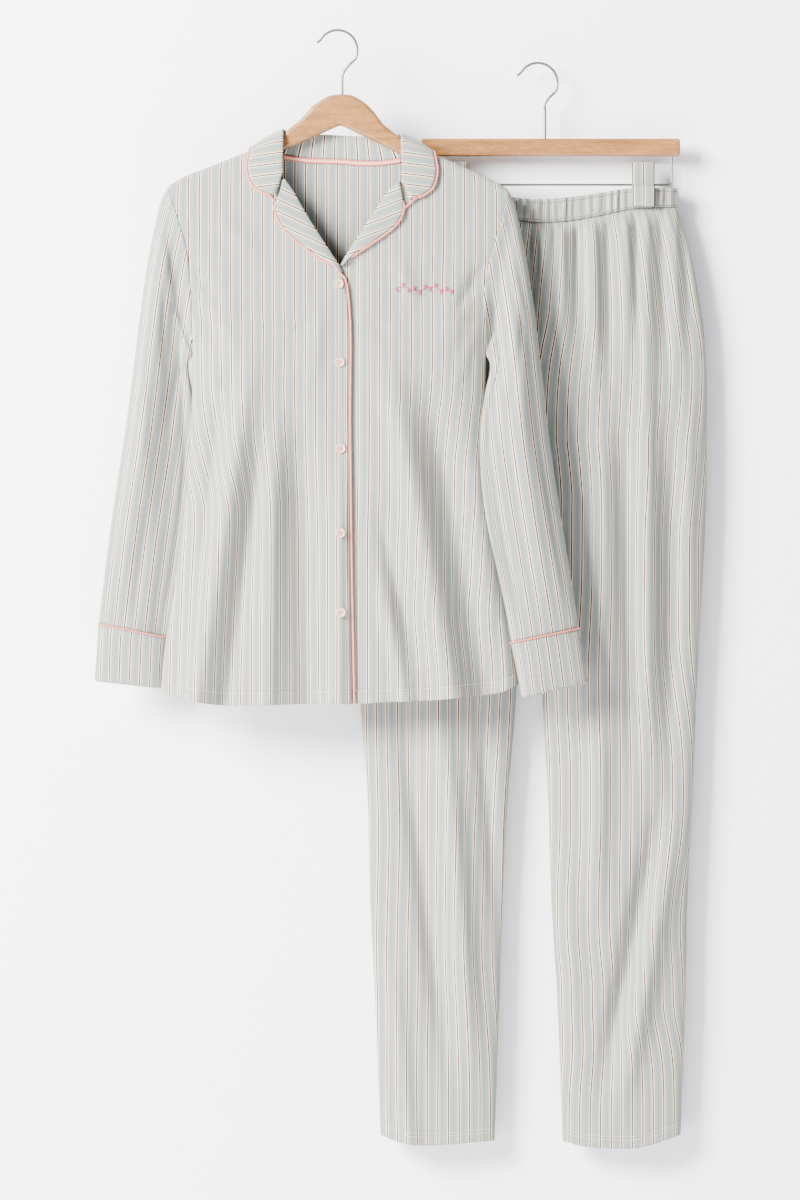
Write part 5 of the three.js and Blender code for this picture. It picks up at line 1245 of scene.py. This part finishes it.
def leg_rows(side):
    outward = -1 if side == "right" else 1
    out_column, in_column = (1, 2) if side == "right" else (4, 3)
    levels = [mix(WAIST_LEVEL, HIP_LEVEL, k / HIP_ROWS) for k in range(HIP_ROWS)]
    levels += [mix(HIP_LEVEL, -1258, k / 100) for k in range(101)]
    levels += [mix(-1260, LEG_END, k / 10) for k in range(11)]
    rows = []
    for level in levels:
        row = []
        open_share = openness(level)
        depth = follow(LEGS, level, 5)
        outer, inner = follow(LEGS, level, out_column), follow(LEGS, level, in_column) + outward * SEAM / 2
        for j in range(LEG_STEPS + 1):
            turn = 2 * math.pi * j / LEG_STEPS
            t = (1 - math.cos(turn)) / 2
            x = mix(inner, outer, t)
            seam_z = follow(WAIST_EDGE, x, 2) - SEAM - 0.1
            if level > HIP_LEVEL:
                z = mix(seam_z, HIP_LEVEL, (WAIST_LEVEL - level) / (WAIST_LEVEL - HIP_LEVEL))
            else:
                share = clamp((SHIN_LEVEL - level) / (SHIN_LEVEL - LEG_END))
                z = level + (follow(LEG_HEMS, x) - LEG_END) * share
            front = j < LEG_STEPS / 2
            folds = fold_height(LEG_FRONT_FOLDS if front else LEG_BACK_FOLDS, x, z)
            below = seam_z - z
            pull = math.sin(2 * math.pi * x / GATHER_PITCH + 1.3 * math.sin(x * 0.11))
            folds += 3.8 * pull * math.exp(-below / 36) * ease(below / 4) * (0.6 + 0.4 * math.sin(x * 0.23))
            fade = mix(abs(math.sin(turn)), math.sqrt(max(0, 1 - t * t)), open_share) ** 0.7
            profile = mix(abs(math.sin(turn)) ** LEG_FLATNESS, math.sqrt(max(0, 1 - t ** 2.4)), open_share)
            settled = ease((WAIST_LEVEL - level) / 22)
            away = max(SEAM / 2, depth * profile + (folds * settled - 1.6 * math.exp(-below / 4)) * fade)
            for stitch in (HEM_STITCH - 4, HEM_STITCH):
                away += hem_groove(x, z, follow(LEG_HEMS, x), stitch) * 0.5 * profile
            row.append(Vector((x, TROUSER_Y + (-away if front else away), z)))
        if open_share == 0:
            row[0].y, row[-1].y = TROUSER_Y - SEAM / 2, TROUSER_Y + SEAM / 2
        row[LEG_STEPS // 2].y = TROUSER_Y
        rows.append(row)
    return rows


def leg_places(rows):
    """Across the cloth from the middle of the leg's front, and down from the waist"""
    places = []
    for row in rows:
        total = [0]
        for a, b in zip(row, row[1:]):
            total.append(total[-1] + math.hypot(b.x - a.x, b.y - a.y))
        middle = (row[0].x + row[LEG_STEPS // 2].x) / 2
        k = min(range(LEG_STEPS // 2), key=lambda n: abs(row[n].x - middle))
        way = 1 if abs(row[k].x - row[0].x) < abs(middle - row[0].x) else -1
        zero = total[k] + abs(middle - row[k].x) * way
        places.append([(t - zero, -p.z) for t, p in zip(total, row)])
    # over the hips the stripes run straight up into the waistband
    for i in range(HIP_ROWS):
        places[i] = [(hip[0], -p.z) for hip, p in zip(places[HIP_ROWS], rows[i])]
    return places


for side in ("right", "left"):
    rows = leg_rows(side)
    places = leg_places(rows)
    leg = cloth_piece(
        f"trouser_leg_{side}_cloth", f"trouser_leg_{side}", rows, (0, -1, 0), (60, LEG_STEPS // 4),
        lambda i, j, places=places: places[i][j],
    )
    halves = (
        ("front", -1, rows[-1][1:LEG_STEPS // 2], TOWARDS_VIEWER),
        ("back", 1, rows[-1][LEG_STEPS // 2 + 1:-1], TOWARDS_WALL),
    )
    for n, up in enumerate((HEM_STITCH - 4, HEM_STITCH), 1):
        for face, way, half, normals in halves:
            path = [p + Vector((0, way * (WALL / 2 + 0.1), up)) for p in half]
            stitches(f"leg_{side}_hem_stitch_{n}_{face}", path, normals, THREAD)

# Waistband
# A casing of the same jersey with elastic inside: two rows of stitching through it, and the cloth drawn into
# small uneven gathers between them.
WAIST_HALF = 146.3
WAIST_DEPTH = 11
GATHERS = 58
GATHER_HEIGHT = 3.2
PER_GATHER = 10
CASING_ROWS = 24
CASING_STITCHES = (0.1, 0.84)
GATHER_FULLNESS = 1.5
# the casing's thread is real, but its dark grey is painted shade of the pinch along each stitch line
CASING_THREAD_AND_SHADE = plain_material("grey thread and pinch shade", (84, 88, 84), 0.85)


def waist_ring():
    """Evenly stepped points round the waist, with the way out at each"""
    fine = 2000
    ring = []
    for k in range(fine + 1):
        turn = 2 * math.pi * k / fine
        x = WAIST_CENTRE_X + WAIST_HALF * math.cos(turn)
        y = TROUSER_Y - WAIST_DEPTH * flattened(turn, LEG_FLATNESS)
        ring.append(Vector((x, y, 0)))
    lengths = [0]
    for a, b in zip(ring, ring[1:]):
        lengths.append(lengths[-1] + (b - a).length)
    steps = GATHERS * PER_GATHER
    even, k = [], 0
    for j in range(steps):
        goal = lengths[-1] * j / steps
        while lengths[k + 1] <= goal:
            k += 1
        even.append(ring[k].lerp(ring[k + 1], (goal - lengths[k]) / (lengths[k + 1] - lengths[k])))
    outs = []
    for j in range(steps):
        run = even[(j + 1) % steps] - even[j - 1]
        out = Vector((run.y, -run.x, 0)).normalized()
        away = Vector((even[j].x - WAIST_CENTRE_X, (even[j].y - TROUSER_Y) * 10, 0))
        outs.append(-out if out.dot(away) < 0 else out)
    return even, outs, lengths[-1]


draw = random.Random(7)
even, outs, waist_length = waist_ring()
gather_size = [draw.uniform(0.35, 1.25) for _ in range(GATHERS)]
band_rows = []
for i in range(CASING_ROWS + 1):
    up = i / CASING_ROWS
    pinch = 1 - 0.75 * sum(bump(up - at, 0.07) for at in CASING_STITCHES)
    row = []
    for j, (point, out) in enumerate(zip(even, outs)):
        place = j / PER_GATHER
        size = mix(gather_size[int(place)], gather_size[(int(place) + 1) % GATHERS], ease(place % 1))
        shift = 1.2 * math.sin(place * 2 * math.pi * 9 / GATHERS)
        shift += 0.7 * math.sin(place * 2 * math.pi * 23 / GATHERS + 1)
        wave = 0.5 + 0.5 * math.cos(2 * math.pi * place + shift + 0.3 * math.sin(5 * up + 4 * size))
        seam_z, top_z = follow(WAIST_EDGE, point.x, 2), follow(WAIST_EDGE, point.x, 1)
        z = mix(seam_z, top_z + 0.7 * (wave - 0.5) * size, up)
        bulge = 0.8 * (1 - (2 * up - 1) ** 4)
        stand = GATHER_HEIGHT * size * wave ** 1.4 * pinch + bulge - 0.3
        row.append(Vector((point.x, point.y, z)) + out * stand)
    band_rows.append(row)
waistband = cloth_piece(
    "waistband_cloth", "waistband", band_rows, (1, 0, 0), (5, 0),
    lambda i, j: (waist_length * GATHER_FULLNESS * j / len(even), 36 * i / CASING_ROWS), closed=True,
)
for n, at in enumerate(CASING_STITCHES, 1):
    row = band_rows[round(at * CASING_ROWS)]
    path = [p + out * (WALL / 2 + 0.1) for p, out in zip(row, outs)]
    # dark thread: the thread with painted shade of the pinched stitch line in its colour
    stitches(f"waistband_stitch_{n}", path, outs, CASING_THREAD_AND_SHADE, length=2.4, gap=0.8, width=0.8)

# Hanging loops
# Two straps of the same jersey, each sewn to the waistband inside and out and passed over the hanger's wire;
# above the wire the two layers lie together.
LOOP_WIDTH = 26
LOOP_OUT = 108.3
WIRE_Z = -173.1
LOOP_TOP = -147
LOOP_FOOT = -199
for side, centre_x in (("right", WAIST_CENTRE_X - LOOP_OUT), ("left", WAIST_CENTRE_X + LOOP_OUT)):
    reach = (LOOP_OUT - LOOP_WIDTH / 2) / WAIST_HALF
    middle = WAIST_DEPTH * (1 - reach ** 2) ** 0.4 + GATHER_HEIGHT + 0.5 + WALL
    half = [
        (middle + 0.2, LOOP_FOOT), (middle + 0.4, -190), (middle + 0.3, WIRE_Z - 6),
        (middle - 0.6, WIRE_Z - 3.2), (4.2, WIRE_Z - 1.2), (2.8, WIRE_Z + 0.6), (1.3, WIRE_Z + 4),
        (0.85, WIRE_Z + 9), (0.85, LOOP_TOP - 2), (0.6, LOOP_TOP - 0.7),
    ]
    outline = [Vector((0, -y, z)) for y, z in half] + [Vector((0, 0, LOOP_TOP - 0.5))]
    outline += [Vector((0, y, z)) for y, z in reversed(half)]
    outline = finer(outline, 4)
    strap = []
    for n, point in enumerate(outline):
        row = []
        for k in range(9):
            across = k / 8 * 2 - 1
            cup = 0.35 * across ** 2 * (1 if point.y > 0 else -1) * clamp(abs(point.y) - 0.5)
            row.append(Vector((centre_x + across * LOOP_WIDTH / 2, TROUSER_Y + point.y - cup, point.z)))
        strap.append(row)
    loop = cloth_piece(
        f"hanging_loop_{side}_cloth", f"hanging_loop_{side}", strap, (0, -1, 0), (4, 4),
        lambda i, j, strap=strap: (strap[i][j].x, 3 * i), thickness=1.2,
    )
    box_path = [
        Vector((centre_x + across * (LOOP_WIDTH / 2 - 2), TROUSER_Y - middle - 1.1, LOOP_FOOT + 3))
        for across in (-1, -0.5, 0, 0.5, 1)
    ]
    foot_stitch = stitches(f"hanging_loop_{side}_stitch", box_path, TOWARDS_VIEWER, THREAD)

# Shirt hanger
# A flat, curved coat hanger of pale beech with rounded edges, lacquered, and a steel wire hook let into its
# middle.
# x, z
WOOD_NECK = [
    (-73, -126.6), (-62, -117.8), (-59, -114.2), (-46, -104), (-36.5, -94.4), (-26.8, -83.8),
    (-12.3, -75), (-3, -72.4), (12, -72.4), (19, -74.2), (31.3, -81.4), (42.6, -92.7), (52.2, -105.7),
    (62, -113.7), (74, -122.8), (84, -130.4),
]
# The underside runs up to a blunt point; x, z
WOOD_UNDER = [
    (186, -190), (130, -166.5), (74.9, -142.1), (45, -127.5), (22, -116.6), (9, -110.4), (6, -109),
    (3.2, -108.5), (0, -109.2), (-3, -110.6), (-13, -115.1), (-36, -125.4), (-61.5, -136.7), (-120, -162.2),
    (-184, -188),
]
WOOD_THICK = 11.2
WOOD_ROUND = 4.6
WOOD_DROP = 2.1
HOOK_WIRE = 1.6
HOOK_RING = 22.9
# ringX, ringZ, y, bendX, bendZ, shankX, endZ
SHIRT_HOOK = (0, HOOK_WIRE - HOOK_RING, 0, 6.8, -46.8, 5.6, -89.5)
TROUSER_HOOK = (231.3, -55.1, TROUSER_Y, 239.2, -80, 239.8, -131.5)


def flat_wood(name, outline, thickness, rounding, y, *nodes):
    """Board with rounded edges from its outline in the front view"""
    curve = bpy.data.curves.new(name, "CURVE")
    curve.dimensions = "2D"
    curve.fill_mode = "BOTH"
    curve.extrude = (thickness / 2 - rounding) * MM
    curve.bevel_depth = rounding * MM
    curve.bevel_resolution = 6
    curve.offset = -rounding * MM
    spline = curve.splines.new("POLY")
    spline.points.add(len(outline) - 1)
    for made, (x, z) in zip(spline.points, outline):
        made.co = (x * MM, z * MM, 0, 1)
    spline.use_cyclic_u = True
    maker = bpy.data.objects.new(name + " outline", curve)
    mesh = bpy.data.meshes.new_from_object(maker)
    bpy.data.objects.remove(maker)
    mesh.transform(Matrix.Translation((0, y * MM, 0)) @ FACING_VIEWER)
    for polygon in mesh.polygons:
        polygon.use_smooth = True
    return dress(linked(name, mesh), WOOD, "wood", *nodes)


def wood_material():
    made = plain_material("pale beech", (170, 118, 72), 0.42, Coat_Weight=0.25, Coat_Roughness=0.3)
    tree = made.node_tree
    place = node(tree, "ShaderNodeTexCoord").outputs["Object"]
    grain = noise(tree, vector_times(tree, place, (14, 160, 160)), 1, 5)
    flecks = noise(tree, vector_times(tree, place, (120, 900, 900)), 1, 2)
    ramp = node(tree, "ShaderNodeValToRGB", {0: sum_node(tree, "MULTIPLY", grain, flecks)})
    ends = ((0.12, (112, 72, 32)), (0.42, (158, 109, 56)))
    for element, (at, colour) in zip(ramp.color_ramp.elements, ends):
        element.position = at
        element.color = srgb(*colour)
    tree.links.new(ramp.outputs[0], tree.nodes["Principled BSDF"].inputs["Base Color"])
    return made


def hook(name, shape, *nodes):
    ring_x, ring_z, y, bend_x, bend_z, shank_x, end_z = shape
    guides = [Vector((ring_x - HOOK_RING - 0.8, y, ring_z + 8.4))]
    for angle in (150, 128, 106, 84, 62, 40, 18, -4, -26):
        turn = math.radians(angle)
        guides.append(Vector((ring_x + HOOK_RING * math.cos(turn), y, ring_z + HOOK_RING * math.sin(turn))))
    below_ring = mix(ring_x + HOOK_RING * 0.9, bend_x, 0.55)
    bends = ((below_ring, bend_z + 8), (bend_x, bend_z - 1), (shank_x, bend_z - 9), (shank_x, end_z))
    guides += [Vector((x, y, z)) for x, z in bends]
    return tube(name, finer(guides, 6), HOOK_WIRE, STEEL, "steel", *nodes)


WOOD = wood_material()
STEEL = plain_material("steel wire", (120, 118, 114), 0.34, Metallic=1.0)
over = [(x, ridge_z(x) - WOOD_DROP) for x in (-186, -175, -156, -130, -104, -82)] + WOOD_NECK
over += [(x, ridge_z(x) - WOOD_DROP) for x in (93, 111, 130, 150, 172, 188)]
smooth_over = finer([Vector(p) for p in over], 3)
smooth_under = [Vector(p) for p in WOOD_UNDER]
flat_wood(
    "shirt_hanger_wood_shape", smooth_over + smooth_under, WOOD_THICK, WOOD_ROUND, 0, "shirt_hanger_wood"
)
hook("shirt_hanger_hook_shape", SHIRT_HOOK, "shirt_hanger_hook")

# Trouser hanger
# A straight bar of the same beech with its own hook. Under it runs a thin steel wire that the loops are slid
# on to, bent up into the bar at both ends.
BAR = (96, 396, -120, -140)
BAR_CORNER = 3
BAR_THICK = 13
FRAME_WIRE = 1.2
UPRIGHTS = (105.6, 386.4)
WIRE_TOP = -130.5
WIRE_CORNER = 6
left, right, top, bottom = BAR
corners = []
for x, z, start in (
    (right - BAR_CORNER, top - BAR_CORNER, 0), (left + BAR_CORNER, top - BAR_CORNER, 90),
    (left + BAR_CORNER, bottom + BAR_CORNER, 180), (right - BAR_CORNER, bottom + BAR_CORNER, 270),
):
    for step in range(0, 91, 15):
        turn = math.radians(start + step)
        corners.append((x + BAR_CORNER * math.cos(turn), z + BAR_CORNER * math.sin(turn)))
flat_wood("trouser_hanger_bar_shape", corners, BAR_THICK, 2, TROUSER_Y, "trouser_hanger_bar")
hook("trouser_hanger_hook_shape", TROUSER_HOOK, "trouser_hanger_hook")
bent = [Vector((UPRIGHTS[0], TROUSER_Y, WIRE_TOP))]
for x, way in zip(UPRIGHTS, (1, -1)):
    turns = [math.radians(a) for a in range(0, 91, 10)]
    arc = [
        Vector((
            x + way * WIRE_CORNER * (1 - math.cos(a)), TROUSER_Y, WIRE_Z + WIRE_CORNER * (1 - math.sin(a))
        )) for a in turns
    ]
    bent += arc if way > 0 else arc[::-1]
bent.append(Vector((UPRIGHTS[1], TROUSER_Y, WIRE_TOP)))
tube("trouser_hanger_wire_shape", bent, FRAME_WIRE, STEEL, "steel", "trouser_hanger_wire")

# Studio
# A pale wall close behind the set and a pale floor; soft light from the upper left, and the camera square on,
# as in the photo.
WALL_Y = 0.07
FLOOR_Z = -1.75
HALF_STAGE = 6
VIEW_CENTRE = (0.0719, -0.6537)
VIEW_HEIGHT = 1.38
LENS = 180
SENSOR = 36


def pale_material(name, colour):
    """Matt pale surface that isn't there when it is seen from behind"""
    made = plain_material(name, colour, 0.95)
    tree = made.node_tree
    shader = tree.nodes["Principled BSDF"]
    facing = node(tree, "ShaderNodeNewGeometry")
    clear_shader = node(tree, "ShaderNodeBsdfTransparent")
    blend = node(tree, "ShaderNodeMixShader", {0: facing.outputs["Backfacing"]})
    tree.links.new(shader.outputs[0], blend.inputs[1])
    tree.links.new(clear_shader.outputs[0], blend.inputs[2])
    tree.links.new(blend.outputs[0], tree.nodes["Material Output"].inputs["Surface"])
    return made


def plane(name, place, material):
    bm = bmesh.new()
    bmesh.ops.create_grid(bm, x_segments=1, y_segments=1, size=HALF_STAGE, matrix=place)
    obj = mesh_object(name, bm)
    obj.data.materials.append(material)


def area_light(name, place, target, size, power, colour):
    light = bpy.data.lights.new(name, "AREA")
    light.size = size
    light.energy = power
    light.color = colour
    obj = linked(name, light)
    obj.location = place
    obj.rotation_euler = (Vector(target) - Vector(place)).to_track_quat("-Z", "Y").to_euler()


PALE = pale_material("pale wall", (250, 249, 253))
plane("studio_wall", Matrix.Translation((0, WALL_Y, 0)) @ FACING_VIEWER, PALE)
plane("studio_floor", Matrix.Translation((0, -5, FLOOR_Z)), PALE)
area_light("key", (-2.75, -2.6, 1.1), (0.05, 0, -0.6), 1.8, 1240, (1, 0.99, 0.98))
area_light("fill", (2.6, -4.2, 0.2), (0.1, 0, -0.8), 3, 6, (0.96, 0.98, 1))
world = bpy.data.worlds.new("studio")
world.use_nodes = True
world.node_tree.nodes["Background"].inputs["Color"].default_value = (0.93, 0.95, 1, 1)
world.node_tree.nodes["Background"].inputs["Strength"].default_value = 0.26
bpy.context.scene.world = world
camera = bpy.data.cameras.new("camera")
camera.lens = LENS
camera.sensor_fit = "VERTICAL"
camera.sensor_height = SENSOR
distance = VIEW_HEIGHT * LENS / SENSOR
eye = linked("camera", camera)
eye.location = (VIEW_CENTRE[0], -distance, VIEW_CENTRE[1])
eye.rotation_euler = (math.pi / 2, 0, 0)
bpy.context.scene.camera = eye
